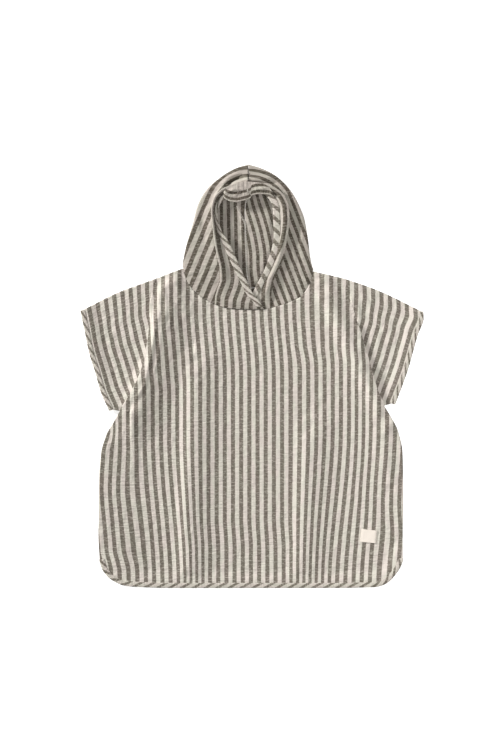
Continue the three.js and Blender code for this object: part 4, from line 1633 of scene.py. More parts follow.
# Rim of the hood that has flopped forward over the binding at the crown
FLOP_LOWER = Table(
    "x y",
    (-52, 333), (-47, 326), (-38, 321.8), (-27.7, 320.6), (-14.8, 323), (-1, 328),
    (1.5, 333), (16.6, 335.4), (33.2, 334.2), (42, 329),
)
FLOP_UPPER = Table("x y", (-52, 337), (-44, 347.5), (-32, 353.5), (-5, 358), (14, 356.5), (30, 350.5), (42, 336))
FLOP_UPPER_LEVEL = 17.6
FLOP_LOWER_LEVEL = 14.9
FLOP_PITCH = 11.0
FLOP_FIRST = 5.4
FLOP_PLAIN_FROM = 20.3


class Flop:
    """Rim of the hood's crown that has flopped forward over its binding."""

    def __init__(self, creases: Sequence[Crease]) -> None:
        """Lays out the rim.

        Args:
            creases: its soft folds.
        """
        columns, rows = 130, 34
        x = np.linspace(FLOP_LOWER["x"][0], FLOP_LOWER["x"][-1], columns)[:, None]
        share = np.linspace(0, 1, rows)[None, :]
        low, high = FLOP_LOWER.at("x", "y", x), FLOP_UPPER.at("x", "y", x)
        y = mix(low, high, share)
        distance = y - low
        number = (np.minimum(distance, FLOP_PLAIN_FROM) - FLOP_FIRST) / FLOP_PITCH
        crinkle = Crinkle(41, 7, 22, 1.0, 26)
        z = mix(FLOP_LOWER_LEVEL, FLOP_UPPER_LEVEL, np.sin(share * math.pi / 2))
        spread = x + 0 * share
        free = smooth(share * 3) * (1 - smooth((share - 0.8) * 5)) * 0.5
        z = z + free * crinkle.height(spread, y) + lifted(creases, spread, y)
        ends = smooth((x - x[0]) / 5) * smooth((x[-1] - x) / 5)
        z = mix(13.6, z, ends)
        points = np.dstack([spread, y, z])
        self.grid = ClothGrid(points, np.dstack([number * STRIPE_PITCH, points[..., 0], np.zeros_like(number)]))


@dataclass(frozen=True)
class Label:
    """Small cloth label, left bare, that lies on the front."""

    width: float = 29.0
    height: float = 23.5
    turn: float = -6.0
    middle: tuple[float, float] = (217.0, -295.0)
    edge: float = 1.6

    def on(self, along: np.ndarray, across: np.ndarray) -> np.ndarray:
        """Points in plan from places on the label.

        Args:
            along: distance from the label's middle along its width.
            across: distance from its middle along its height.

        Returns:
            The points.
        """
        turn = math.radians(self.turn)
        x = self.middle[0] + along * math.cos(turn) - across * math.sin(turn)
        y = self.middle[1] + along * math.sin(turn) + across * math.cos(turn)
        return np.stack(np.broadcast_arrays(x, y), axis=-1)

    def level(self, along: np.ndarray, across: np.ndarray, low: float) -> np.ndarray:
        """Height of the label's middle layer, which dips along its stitched edges."""
        dip = 1 - smooth((self.width / 2 - np.abs(along)) / 4)
        return low + 0.55 * (1 - dip) + 0.12 * np.sin(along / 3.1) * np.cos(across / 4.3) + 0 * across

    def grid(self, low: float) -> ClothGrid:
        """Label's cloth.

        Args:
            low: height of its edges.

        Returns:
            The grid.
        """
        along = np.linspace(-self.width / 2, self.width / 2, 60)[:, None]
        across = np.linspace(-self.height / 2, self.height / 2, 48)[None, :]
        plan = self.on(along, across)
        z = self.level(along, across, low)
        cloth = np.dstack(np.broadcast_arrays(along, across, 0.0))
        return ClothGrid(np.dstack([plan, z]), cloth)

    def stitches(self, low: float, thread: Stitching) -> None:
        """Adds the stitches down both short edges.

        Args:
            low: height of the label's edges.
            thread: where the stitches go.
        """
        across = np.linspace(-self.height / 2 + 1, self.height / 2 - 1, 40)
        for side in Side:
            along = np.full(40, side.sign * (self.width / 2 - self.edge))
            line = np.column_stack([self.on(along, across), self.level(along, across, low) + 0.62])
            for path in stitched(line, 1.9, 0.9, 0.3):
                thread.add(path)



def srgb(red: int, green: int, blue: int) -> tuple[float, float, float, float]:
    """Colour for a shader from the usual 0 to 255 values.

    Args:
        red: share of red.
        green: share of green.
        blue: share of blue.

    Returns:
        The linear colour, solid.
    """
    parts = []
    for value in (red, green, blue):
        share = value / 255
        parts.append(share / 12.92 if share <= 0.04045 else ((share + 0.055) / 1.055) ** 2.4)
    return (parts[0], parts[1], parts[2], 1.0)


class NodeTree:
    """Short hand for building a node tree."""

    def __init__(self, tree: bpy.types.NodeTree) -> None:
        """Starts with an empty tree.

        Args:
            tree: the tree, which is cleared.
        """
        self.tree = tree
        tree.nodes.clear()

    def add(self, kind: str, settings: dict[str, object] | None = None, **inputs: object) -> bpy.types.Node:
        """Adds a node.

        Args:
            kind: the node's type.
            settings: properties of the node itself.
            inputs: values or sockets by input name, with underscores for spaces, or i0, i1 by place.

        Returns:
            The node.
        """
        node = self.tree.nodes.new(kind)
        for key, value in (settings or {}).items():
            setattr(node, key, value)
        for key, value in inputs.items():
            name = int(key[1:]) if key[0] == "i" and key[1:].isdigit() else key.replace("_", " ")
            self.feed(node.inputs[name], value)
        return node

    def feed(self, socket: bpy.types.NodeSocket, value: object) -> None:
        """Links a socket to another one, or sets its value.

        Args:
            socket: an input.
            value: an output socket or a plain value.
        """
        if isinstance(value, bpy.types.NodeSocket):
            self.tree.links.new(value, socket)
        else:
            socket.default_value = value

    def maths(self, operation: str, *values: object) -> bpy.types.NodeSocket:
        """Result of a maths node.

        Args:
            operation: the node's operation.
            values: its inputs in order.

        Returns:
            The output socket.
        """
        node = self.tree.nodes.new("ShaderNodeMath")
        node.operation = operation
        for socket, value in zip(node.inputs, values):
            self.feed(socket, value)
        return node.outputs[0]

    def total(self, *terms: tuple[object, float]) -> bpy.types.NodeSocket:
        """Weighted sum of values.

        Args:
            terms: pairs of a value and its weight.

        Returns:
            The sum.
        """
        result: object = 0.0
        for value, weight in terms:
            node = self.tree.nodes.new("ShaderNodeMath")
            node.operation = "MULTIPLY_ADD"
            self.feed(node.inputs[0], value)
            self.feed(node.inputs[1], weight)
            self.feed(node.inputs[2], result)
            result = node.outputs[0]
        return result

    def scaled(self, vector: object, x: float, y: float, z: float = 1.0) -> bpy.types.NodeSocket:
        """Vector with each part multiplied."""
        return self.add("ShaderNodeVectorMath", {"operation": "MULTIPLY"}, i0=vector, i1=(x, y, z)).outputs[0]

    def noise(self, vector: object, scale: float, detail: float = 2.0, rough: float = 0.5) -> bpy.types.NodeSocket:
        """Value of a noise texture at a vector."""
        node = self.add("ShaderNodeTexNoise", Vector=vector, Scale=scale, Detail=detail, Roughness=rough)
        return node.outputs["Fac"]

    def span(
        self, value: object, low: float, high: float, to_low: float = 0.0, to_high: float = 1.0
    ) -> bpy.types.NodeSocket:
        """Value moved from one range to another along a soft curve.

        Args:
            value: what is moved.
            low: where the first range starts.
            high: where it ends.
            to_low: where the second range starts.
            to_high: where it ends.

        Returns:
            The moved value.
        """
        node = self.add("ShaderNodeMapRange", {"interpolation_type": "SMOOTHSTEP"})
        for place, item in enumerate((value, low, high, to_low, to_high)):
            self.feed(node.inputs[place], item)
        return node.outputs[0]

    def blended(self, share: object, low: object, high: object, kind: str = "MIX") -> bpy.types.NodeSocket:
        """Two colours blended by a share."""
        node = self.add("ShaderNodeMix", {"data_type": "RGBA", "blend_type": kind}, i0=share, i6=low, i7=high)
        return node.outputs[2]


class Group:
    """Node group that gives values to materials."""

    made: dict[str, bpy.types.NodeTree] = {}

    @classmethod
    def start(
        cls, name: str, inputs: dict[str, tuple[str, object]], outputs: dict[str, str]
    ) -> tuple[NodeTree, bpy.types.Node, bpy.types.Node]:
        """Makes an empty group.

        Args:
            name: the group's name.
            inputs: socket kind and first value by name.
            outputs: socket kind by name.

        Returns:
            The group's tree with its input node and its output node.
        """
        tree = bpy.data.node_groups.new(name, "ShaderNodeTree")
        for label, (kind, value) in inputs.items():
            socket = tree.interface.new_socket(name=label, in_out="INPUT", socket_type="NodeSocket" + kind)
            if value is not None:
                socket.default_value = value
        for label, kind in outputs.items():
            tree.interface.new_socket(name=label, in_out="OUTPUT", socket_type="NodeSocket" + kind)
        cls.made[name] = tree
        t = NodeTree(tree)
        return t, t.add("NodeGroupInput"), t.add("NodeGroupOutput")

    @classmethod
    def use(cls, t: NodeTree, name: str, **inputs: object) -> bpy.types.Node:
        """Adds a group that was made to a tree, with its inputs by name."""
        return t.add("ShaderNodeGroup", {"node_tree": cls.made[name]}, **inputs)


def make_groups() -> None:
    """Makes the node groups that the fabrics share."""
    t, given, out = Group.start(
        "Stripes",
        {
            "Place": ("Vector", None),
            "Pitch": ("Float", 0.0151),
            "Slant": ("Float", 0.0),
            "Dark share": ("Float", 0.48),
            "Wobble": ("Float", 0.0007),
        },
        {"Mask": "Float", "Edge": "Float"},
    )
    place = t.add("ShaderNodeSeparateXYZ", i0=given.outputs["Place"])
    slow = t.noise(t.scaled(given.outputs["Place"], 70.0, 40.0, 1.0), 1.0, 1.0)
    quick = t.noise(t.scaled(given.outputs["Place"], 260.0, 700.0, 1.0), 1.0, 2.0)
    wander = t.total((slow, 0.8), (quick, 1.6))
    shift = t.maths("MULTIPLY", t.maths("SUBTRACT", wander, 1.2), given.outputs["Wobble"])
    run = t.maths("MULTIPLY_ADD", place.outputs[1], given.outputs["Slant"], place.outputs[0])
    turns = t.maths("DIVIDE", t.maths("ADD", run, shift), given.outputs["Pitch"])
    past_middle = t.maths("SUBTRACT", t.maths("FRACT", t.maths("ADD", turns, 0.5)), 0.5)
    away = t.maths("MULTIPLY", t.maths("ABSOLUTE", past_middle), 2.0)
    edge = t.maths("SUBTRACT", given.outputs["Dark share"], away)
    t.feed(out.inputs["Mask"], t.span(edge, -0.05, 0.05))
    t.feed(out.inputs["Edge"], t.maths("ABSOLUTE", edge))

    t, given, out = Group.start(
        "Gauze",
        {"Place": ("Vector", None)},
        {"Weft": "Float", "Warp": "Float", "Grain": "Float", "Height": "Float"},
    )
    where = given.outputs["Place"]
    weft = t.noise(t.scaled(where, 105.0, 360.0, 1.0), 1.0, 2.0, 0.6)
    weft_fine = t.noise(t.scaled(where, 230.0, 900.0, 1.0), 1.0, 1.0)
    warp = t.noise(t.scaled(where, 950.0, 60.0, 1.0), 1.0, 1.0)
    grain = t.noise(where, 1500.0, 2.0, 0.6)
    t.feed(out.inputs["Weft"], t.total((weft, 0.62), (weft_fine, 0.38)))
    t.feed(out.inputs["Warp"], warp)
    t.feed(out.inputs["Grain"], grain)
    t.feed(out.inputs["Height"], t.total((weft, 0.5), (weft_fine, 0.35), (warp, 0.25), (grain, 0.3)))

    t, given, out = Group.start("Crumple", {"Place": ("Vector", None)}, {"Height": "Float", "Shade": "Float"})
    where = given.outputs["Place"]
    spots = t.scaled(where, 150.0, 105.0, 1.0)
    cells = t.add("ShaderNodeTexVoronoi", {"feature": "SMOOTH_F1"}, Vector=spots, Scale=1.0, Smoothness=0.7)
    broad = t.noise(t.scaled(where, 115.0, 75.0, 1.0), 1.0, 2.0, 0.55)
    ribs = t.noise(t.scaled(where, 55.0, 300.0, 1.0), 1.0, 2.0, 0.55)
    fine = t.noise(t.scaled(where, 380.0, 300.0, 1.0), 1.0, 2.0, 0.6)
    t.feed(out.inputs["Height"], t.total((cells.outputs["Distance"], -0.4), (broad, 0.6), (ribs, 1.5), (fine, 0.4)))
    t.feed(out.inputs["Shade"], t.noise(t.scaled(where, 75.0, 22.0, 1.0), 1.0, 2.0))


@dataclass(frozen=True)
class StripedGauze:
    """Striped double gauze, with its colours and its stripes' measures in millimetres."""

    name: str
    light: tuple[int, int, int]
    dark: tuple[int, int, int]
    pitch: float = STRIPE_PITCH
    dark_share: float = 0.48
    slant: float = 0.0
    crumple: float = 1.0
    streaks: float = 1.0
    wobble: float = 1.1

    def material(self) -> bpy.types.Material:
        """Makes the material.

        Returns:
            The material.
        """
        material = bpy.data.materials.new(self.name)
        material.use_nodes = True
        t = NodeTree(material.node_tree)
        cloth = t.add("ShaderNodeAttribute", {"attribute_name": "cloth"}).outputs["Vector"]
        stripes = Group.use(t, "Stripes", Place=cloth)
        stripes.inputs["Pitch"].default_value = self.pitch * MM
        stripes.inputs["Slant"].default_value = self.slant
        stripes.inputs["Dark share"].default_value = self.dark_share
        stripes.inputs["Wobble"].default_value = self.wobble * MM
        gauze = Group.use(t, "Gauze", Place=cloth)
        crumple = Group.use(t, "Crumple", Place=cloth)
        weft, warp, grain = gauze.outputs["Weft"], gauze.outputs["Warp"], gauze.outputs["Grain"]
        dark, mask = srgb(*self.dark), stripes.outputs["Mask"]
        pale_dark = tuple(mix(a, b, 0.5) for a, b in zip(dark, srgb(*self.light)))
        deep_dark = tuple(part * 0.66 for part in dark[:3]) + (1.0,)
        crossing = t.span(t.total((weft, 0.8), (grain, 0.2)), 0.5, 0.58, 0.0, self.streaks)
        knots = t.span(t.total((weft, 0.55), (grain, 0.45)), 0.47, 0.38, 0.0, self.streaks)
        dark_colour = t.blended(knots, t.blended(crossing, dark, pale_dark), deep_dark)
        light = srgb(*self.light)
        bright = tuple(min(1.0, part * 1.1) for part in light[:3]) + (1.0,)
        dim = tuple(part * 0.76 for part in light[:3]) + (1.0,)
        light_colour = t.blended(t.span(warp, 0.5, 0.72), light, bright)
        light_colour = t.blended(t.span(t.total((weft, 0.4), (grain, 0.6)), 0.46, 0.33), light_colour, dim)
        colour = t.blended(mask, light_colour, dark_colour)
        tint = t.blended(t.span(crumple.outputs["Shade"], 0.38, 0.62), (0.975, 1.0, 0.975, 1), (1.0, 0.972, 0.985, 1))
        colour = t.blended(1.0, colour, tint, "MULTIPLY")
        relief = t.total((crumple.outputs["Height"], 1.0), (gauze.outputs["Height"], 0.45))
        bump = t.add("ShaderNodeBump", Strength=1.0, Distance=0.0011 * self.crumple, Height=relief)
        shader = t.add("ShaderNodeBsdfPrincipled", Base_Color=colour, Normal=bump.outputs[0])
        shader.inputs["Roughness"].default_value = 0.94
        shader.inputs["Specular IOR Level"].default_value = 0.1
        shader.inputs["Sheen Weight"].default_value = 0.1
        out = t.add("ShaderNodeOutputMaterial")
        t.tree.links.new(shader.outputs[0], out.inputs[0])
        return material


@dataclass(frozen=True)
class PlainCloth:
    """Plain woven cloth or thread."""

    name: str
    colour: tuple[int, int, int]
    weave: float = 0.3
    roughness: float = 0.8

    def material(self) -> bpy.types.Material:
        """Makes the material.

        Returns:
            The material.
        """
        material = bpy.data.materials.new(self.name)
        material.use_nodes = True
        t = NodeTree(material.node_tree)
        cloth = t.add("ShaderNodeAttribute", {"attribute_name": "cloth"}).outputs["Vector"]
        gauze = Group.use(t, "Gauze", Place=cloth)
        shade = t.span(gauze.outputs["Grain"], 0.35, 0.65)
        full = srgb(*self.colour)
        dim = tuple(part * 0.9 for part in full[:3]) + (1.0,)
        bump = t.add("ShaderNodeBump", Strength=self.weave, Distance=0.0005, Height=gauze.outputs["Height"])
        shader = t.add("ShaderNodeBsdfPrincipled", Base_Color=t.blended(shade, dim, full), Normal=bump.outputs[0])
        shader.inputs["Roughness"].default_value = self.roughness
        shader.inputs["Specular IOR Level"].default_value = 0.2
        out = t.add("ShaderNodeOutputMaterial")
        t.tree.links.new(shader.outputs[0], out.inputs[0])
        return material


@dataclass
class Studio:
    """Pale floor, soft light and the camera straight above."""

    garment: Garment
    lens: float = 100.0
    sensor: float = 36.0
    distance: float = 3.842
    aim: tuple[float, float, float] = (-1.8, 2.4, 6.0)

    def build(self) -> None:
        """Makes the floor, the lights and the camera."""
        self.floor()
        self.sky(0.24)
        self.lamp("key", (-6.2, 3.4, 2.6), 1.4, 930.0)
        self.lamp("fill", (0.9, -0.2, 1.2), 0.9, 12.0)
        self.camera()
        bpy.context.scene.view_settings.view_transform = "Standard"

    def floor(self) -> None:
        """Makes the floor, a hair below the garment."""
        size, level = 6.0, -0.0004
        corners = [(-size, -size, level), (size, -size, level), (size, size, level), (-size, size, level)]
        mesh = bpy.data.meshes.new("floor")
        mesh.from_pydata(corners, [], [(0, 1, 2, 3)])
        floor = bpy.data.objects.new("floor", mesh)
        bpy.context.scene.collection.objects.link(floor)
        paint = bpy.data.materials.new("pale_floor")
        paint.use_nodes = True
        shader = paint.node_tree.nodes["Principled BSDF"]
        shader.inputs["Base Color"].default_value = (0.97, 0.97, 0.97, 1)
        shader.inputs["Roughness"].default_value = 1.0
        shader.inputs["Specular IOR Level"].default_value = 0.0
        shader.inputs["Emission Color"].default_value = (1, 1, 1, 1)
        shader.inputs["Emission Strength"].default_value = 0.62
        mesh.materials.append(paint)

    def sky(self, strength: float) -> None:
        """Even soft light from all round.

        Args:
            strength: the light's strength.
        """
        world = bpy.data.worlds.new("studio")
        world.use_nodes = True
        background = world.node_tree.nodes["Background"]
        background.inputs[0].default_value = (1, 1, 1, 1)
        background.inputs[1].default_value = strength
        bpy.context.scene.world = world

    def lamp(self, name: str, place: tuple[float, float, float], size: float, energy: float) -> None:
        """Soft round light that points at the garment.

        Args:
            name: the light's name.
            place: where it stands, in metres.
            size: its diameter in metres.
            energy: its power in watts.
        """
        light = bpy.data.lights.new(name, "AREA")
        light.shape = "DISK"
        light.size = size
        light.energy = energy
        lamp = bpy.data.objects.new(name, light)
        lamp.location = place
        lamp.rotation_mode = "QUATERNION"
        lamp.rotation_quaternion = (-lamp.location).to_track_quat("-Z", "Y")
        bpy.context.scene.collection.objects.link(lamp)

    def camera(self) -> None:
        """Camera that looks straight down."""
        data = bpy.data.cameras.new("camera")
        data.lens = self.lens
        data.sensor_width = self.sensor
        seat = bpy.data.objects.new("camera", data)
        middle = self.garment.place(np.array(self.aim))
        seat.location = (middle[0], middle[1], middle[2] + self.distance)
        bpy.context.scene.collection.objects.link(seat)
        bpy.context.scene.camera = seat


def level_stations(line: np.ndarray, width: float, z: float, towards: np.ndarray) -> list[tuple[np.ndarray, ...]]:
    """Stations along an edge that lies level.

    Args:
        line: the edge in plan.
        width: how far in the strip reaches.
        z: the height of the cloth's middle.
        towards: a point in plan on the cloth's side of the whole edge.

    Returns:
        Edge point, inner point and normal at each point of the line.
    """
    stations = []
    ahead = np.gradient(line, axis=0)
    for (x, y), (dx, dy) in zip(line, ahead):
        side = unit(np.array([-dy, dx]))
        if float(side @ (towards - np.array([x, y]))) < 0:
            side = -side
        edge = np.array([x, y, z])
        inner = np.array([x + side[0] * width, y + side[1] * width, z])
        stations.append((edge, inner, np.array([0.0, 0.0, 1.0])))
    return stations


def even_line(line: np.ndarray, step: float) -> np.ndarray:
    """The line with points an even step apart.

    Args:
        line: the line.
        step: distance between its new points.

    Returns:
        The new points, both ends among them.
    """
    run = np.concatenate([[0], np.cumsum(np.linalg.norm(np.diff(line, axis=0), axis=1))])
    places = np.linspace(0, run[-1], max(2, int(run[-1] / step) + 1))
    return np.stack([np.interp(places, run, line[:, i]) for i in range(line.shape[1])], axis=1)


FRONT_CUT = PanelCut("front_cloth", FRONT_NECK, FRONT_COLUMNS, front_height, 3.0, True, 0.17, 11)
BACK_CUT = PanelCut("back_cloth", BACK_NECK, BACK_COLUMNS, back_height, 4.0, False, 0.0, 12)
FRONT_CREASES = (
    # ridges and puckers beside the tuck on the viewer's left
    Crease(9.5, 22, ((-150, 190), (-165, 131), (-176, 75), (-188, 25), (-222, -50)), trail=85),
    Crease(1.5, 5, ((-169, 158), (-176, 96), (-185, 37), (-196, -16), (-214, -46)), 12),
    Crease(1.3, 3.5, ((-172, 166), (-167, 130), (-170, 100)), 10),
    Crease(1.3, 3.5, ((-161, 170), (-156, 130), (-159, 96)), 10),
    Crease(1.1, 3.5, ((-150, 160), (-146, 122), (-150, 88)), 10),
    Crease(1.2, 3.5, ((-178, 84), (-182, 45), (-191, 12)), 10),
    Crease(1.0, 3.5, ((-166, 70), (-171, 35), (-179, 5)), 10),
    Crease(6.5, 13, ((-262, -90), (-284, -150), (-290, -250), (-288, -340)), 40, trail=125),
    # beside the tuck on the viewer's right
    Crease(2.0, 8, ((186, 150), (186, 122))),
    Crease(1.6, 7, ((196, 140), (199, 90), (206, 40)), 14),
    Crease(8.6, 21, ((131, 165), (168, 80), (214, -12), (246, -78)), trail=36),
    # long folds that run down to the hem
    Crease(1.5, 14, ((-226, -70), (-214, -120), (-222, -200)), 30),
    Crease(1.4, 5, ((26, -344), (25, -374)), 8),
    Crease(1.3, 5, ((-58, -350), (-60, -374)), 8),
    Crease(1.3, 5, ((-16, -352), (-14, -374)), 8),
    Crease(1.3, 5, ((150, -350), (146, -374)), 8),
)
FLOP_CREASES = (
    Crease(1.8, 4.5, ((-46, 336), (-34, 343), (-16, 344)), 6),
    Crease(-1.6, 3.5, ((-40, 336), (-26, 338), (-12, 341)), 6),
    Crease(1.6, 4, ((4, 344), (20, 345), (32, 340)), 6),
    Crease(-1.8, 2.2, ((-8.5, 346), (-5, 340), (1, 332)), 3),
)
BACK_SEAM = ((-20.3, 321), (-25.2, 314), (-18, 297), (-10.3, 281.8), (-9.2, 242.1), (-7.4, 197.9), (-3.7, 167))
CUFF_TOP_ROUND = 0.35

# How far each strip reaches in from its edge
HEM_STRIP = 8.3
CUFF_STRIP = 7.4
HOOD_STRIP = 11.0

BODY_GAUZE = StripedGauze("striped_gauze", (205, 198, 188), (113, 106, 96), dark_share=0.5, streaks=0.7, wobble=0.9)
# The hood's gauze is the body's cloth painted darker: painted shade for the dimmer light on the hood
SHADED_HOOD_GAUZE = StripedGauze("hood_gauze_painted_shade", (175, 168, 158), (87, 80, 70), streaks=0.75, wobble=1.2)
BIAS_GAUZE = StripedGauze("bias_gauze", (194, 187, 177), (116, 109, 98), pitch=22.0, slant=1.0, dark_share=0.42)
THREAD = PlainCloth("thread", (206, 200, 189))
LABEL_WEAVE = PlainCloth("label_weave", (232, 222, 210), 0.8)

# Soft folds of the hood. The crown's puff lies on both halves.
CROWN_PUFF = Crease(3.2, 10, ((-14, 361), (2, 361)), 10)
HOOD_FOLDS = {
    Side.LEFT: HoodFolds(
        outer=(
            Crease(-7.6, 8, ((-43, 352), (-33, 362), (-18, 367)), 7),
            CROWN_PUFF,
            Crease(1.6, 14, ((-60, 350), (-35, 373), (-10, 382))),
            Crease(-1.6, 9, ((-92, 300), (-84, 250), (-92, 215))),
        ),
        inner=(Crease(2.2, 4.5, ((-25, 318), (-14.5, 283), (-13.4, 242), (-11.6, 198), (-7.5, 168))),),
    ),
    Side.RIGHT: HoodFolds(
        outer=(
            CROWN_PUFF,
            Crease(-4.2, 5, ((-4, 355), (25, 357), (52, 355)), 12),
            Crease(1.4, 7, ((4, 366), (35, 366), (60, 360))),
            Crease(-1.6, 9, ((92, 290), (84, 240), (92, 205))),
            Crease(3.8, 4, ((103, 197), (113, 182)), 7),
            Crease(3.6, 4, ((97, 182), (110, 168)), 7),
        ),
    ),
}


class Poncho:
    """The whole garment."""

    def __init__(self, garment: Garment) -> None:
        """Keeps the garment's place.

        Args:
            garment: the garment's place in the frame.
        """
        self.garment = garment

    def dress(self, obj: bpy.types.Object, material: bpy.types.Material, slot: str, *nodes: str) -> None:
        """Gives a piece its material and its place in the frame's body.

        Args:
            obj: the piece.
            material: its material.
            slot: not used.
            nodes: names of the CAD nodes that it replaces.
        """
        obj.data.materials.append(material)
        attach(obj, BODY)
        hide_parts(*nodes)
        LOG.info("piece %s", obj.name)

    def build(self) -> None:
        """Makes every piece."""
        make_groups()
        # The hood's material is a darker copy of the body's, painted shade; the flopped rim uses it too
        body, hood, bias = BODY_GAUZE.material(), SHADED_HOOD_GAUZE.material(), BIAS_GAUZE.material()
        thread, ticket = THREAD.material(), LABEL_WEAVE.material()
        front = Panel(FRONT_CUT, FRONT_CREASES)
        back = Panel(BACK_CUT, ())
        front_obj = front.grid.shell("front_cloth", SHELL, self.garment)
        self.dress(front_obj, body, "body_cloth", "front_panel")
        back_obj = back.grid.shell("back_cloth", SHELL, self.garment)
        self.dress(back_obj, body, "body_cloth", "back_panel")
        halves = {side: HoodHalf(side, HoodZones(), HOOD_FOLDS[side]) for side in Side}
        hoods = {}
        for side, half in halves.items():
            hoods[side] = half.grid.shell(f"hood_cloth_{side.value}", SHELL, self.garment)
            self.dress(hoods[side], hood, "hood_cloth", f"hood_{side.value}")
        hem_edge = self.hem_path()
        hems = (
            ("hem_strip_front", FRONT_BOUND_MID, "hem_binding_front"),
            ("hem_strip_back", BACK_BOUND_MID, "hem_binding_back"),
        )
        for name, z, node in hems:
            stations = level_stations(hem_edge, HEM_STRIP, z, np.array([0.0, -200.0]))
            strip = Strip(StripSize(HEM_STRIP)).sweep(name, stations, False, self.garment)
            self.dress(strip, bias, "binding_cloth", node)
        for side in Side:
            stations = self.cuff_stations(side)
            if side is Side.RIGHT:
                stations = stations[::-1]
            size = StripSize(CUFF_STRIP, lean=2.5)
            strip = Strip(size).sweep(f"cuff_strip_{side.value}", stations, True, self.garment)
            self.dress(strip, bias, "binding_cloth", f"cuff_binding_{side.value}")
        strip = Strip(StripSize(HOOD_STRIP)).sweep("hood_strip", self.hood_stations(halves), False, self.garment)
        self.dress(strip, bias, "binding_cloth", "hood_binding")
        flop = Flop(FLOP_CREASES).grid.shell("hood_rim_flop", SHELL, self.garment)
        self.dress(flop, hood, "hood_cloth")
        seam = self.back_seam(halves).build("hood_back_seam", self.garment)
        self.dress(seam, thread, "hood_cloth")
        low = (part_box("label")[0][2]) / MM + 0.5
        label = Label()
        ticket_obj = label.grid(low).shell("label_cloth", 0.9, self.garment)
        self.dress(ticket_obj, ticket, "label_cloth", "label")
        stitches = Stitching(0.22)
        label.stitches(low, stitches)
        threads = stitches.build("label_stitches", self.garment)
        self.dress(threads, thread, "label_cloth")

    def back_seam(self, halves: dict[Side, HoodHalf]) -> Stitching:
        """Overlocked seam down the middle of the hood's back, and the short one on the flopped rim.

        Args:
            halves: both halves of the hood.

        Returns:
            The threads.
        """
        inner = np.concatenate([half.grid.points[:, :10].reshape(-1, 3) for half in halves.values()])
        line = even_line(np.array(BACK_SEAM), 0.8)
        threads = Stitching(0.42)
        levels = np.array([inner[np.argmin(np.hypot(inner[:, 0] - x, inner[:, 1] - y)), 2] for x, y in line])
        levels = np.convolve(np.pad(levels, 3, "edge"), np.ones(7) / 7, "valid") + 0.95
        swing = np.where(np.arange(len(line)) % 4 < 2, 1.0, -1.0) * 1.3
        ahead = np.gradient(line, axis=0)
        ahead /= np.linalg.norm(ahead, axis=1, keepdims=True)
        sideways = np.stack([-ahead[:, 1], ahead[:, 0]], axis=1)
        threads.add(np.column_stack([line + sideways * swing[:, None], levels]))
        threads.add(np.column_stack([line - sideways * 1.4, levels + 0.3]))
        rim = np.array([(-8.2, 345.5, 17.6), (-5.5, 341, 17.4), (-1.5, 336, 16.6), (1.2, 332, 15.6)])
        threads.add(even_line(rim, 1.0))
        threads.add(even_line(np.array([(-5, 346.5, 17.9), (-7.5, 341, 17.3), (-5.5, 338.5, 17.0)]), 1.0))
        return threads

    def hem_path(self) -> np.ndarray:
        """Edge of the bound hem from one corner's start to the other.

        Returns:
            Points an even step apart.
        """
        down = np.linspace(HEM_CORNER_START, 1, 14)
        left, right = body_edge(Side.LEFT, down), body_edge(Side.RIGHT, down)[::-1]
        x = np.linspace(HEM_EDGE["x"][0], HEM_EDGE["x"][-1], 260)[1:-1]
        bottom = np.stack([x, HEM_EDGE.at("x", "y", x)], axis=1)
        return even_line(np.concatenate([left, bottom, right]), 2.6)

    def cuff_stations(self, side: Side) -> list[tuple[np.ndarray, ...]]:
        """Ring of stations round a cuff: down its front, round the underarm, up its back and over the shoulder.

        Args:
            side: the viewer's side.

        Returns:
            Edge point, inner point and normal at each station.
        """
        share = np.linspace(0, 1, 70)
        line = np.stack([CUFFS[side].at("along", "x", share), CUFFS[side].at("along", "y", share)], axis=1)
        towards = np.array([side.sign * 100.0, 20.0])
        front = level_stations(line, CUFF_STRIP, FRONT_BOUND_MID, towards)
        below = level_stations(line, CUFF_STRIP, BACK_BOUND_MID, towards)
        back = [(edge, inner, -normal) for edge, inner, normal in below]
        radius = (FRONT_BOUND_MID - BACK_BOUND_MID) / 2

        def turn(station: tuple[np.ndarray, ...], out: np.ndarray) -> list[tuple[np.ndarray, ...]]:
            """Half turn from one face of the cuff to the other.

            Args:
                station: where it starts.
                out: direction in plan that it bulges in.

            Returns:
                The stations of the turn.
            """
            steps = []
            for i in range(1, 10):
                angle = math.pi * i / 10
                normal = np.array([out[0] * math.sin(angle), out[1] * math.sin(angle), math.cos(angle)])
                shift = normal * radius + np.array([0, 0, BACK_BOUND_MID + radius - FRONT_BOUND_MID])
                steps.append((station[0] + shift, station[1] + shift, normal))
            return steps

        lower = unit(line[-1] - line[-2])
        upper = unit(line[0] - line[1]) * CUFF_TOP_ROUND
        return front + turn(front[-1], lower) + back[::-1] + turn(front[0], upper)[::-1]

    def hood_stations(self, halves: dict[Side, HoodHalf]) -> list[tuple[np.ndarray, ...]]:
        """Stations up the face opening's left edge, over the crown and down its right edge.

        Args:
            halves: both halves of the hood.

        Returns:
            Edge point, inner point, normal and the stripes' lean at each station.
        """
        stations = []
        for side in Side:
            grid = halves[side].grid.points
            edge, inner = grid[:, -1], grid[:, -8]
            along = np.gradient(edge, axis=0)
            half = []
            for i in range(len(edge)):
                toward = unit(inner[i] - edge[i])
                normal = unit(np.cross(along[i], toward)) * -side.sign
                reach = min(HOOD_STRIP, float(np.linalg.norm(grid[i, -14] - edge[i])))
                lean = 1.8 if side is Side.LEFT else 1.0
                half.append((edge[i], edge[i] + toward * reach, normal, lean))
            if side is Side.RIGHT:
                half = [s for s, up in zip(half, halves[side].up) if up >= 0.07][:-1][::-1]
            else:
                half = half[2:]
            stations += half
        return stations


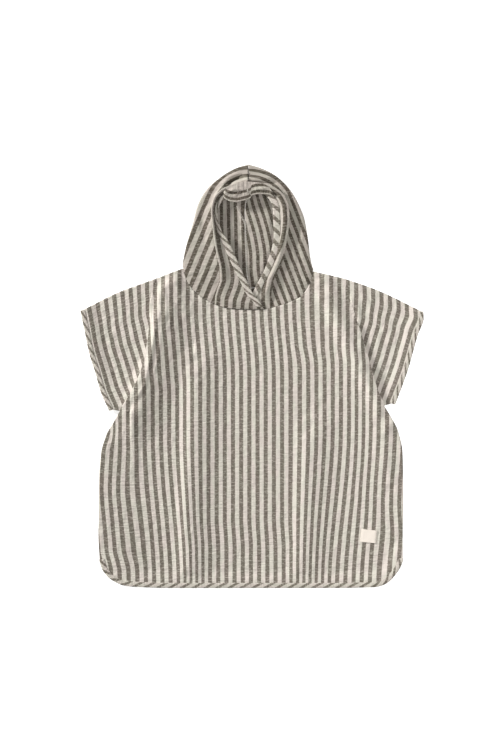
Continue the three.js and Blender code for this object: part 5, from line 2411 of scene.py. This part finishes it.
def main() -> None:
    """Loads the frame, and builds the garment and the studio."""
    logging.basicConfig(level=logging.INFO)
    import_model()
    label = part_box("label")
    middle = (np.array(label[0]) + np.array(label[1])) / 2 / MM
    garment = Garment(np.array([middle[0] - Label.middle[0], middle[1] - Label.middle[1], 0.0]))
    LOG.info("shift %s", garment.shift)
    Poncho(garment).build()
    Studio(garment).build()


if __name__ == "__main__":
    main()
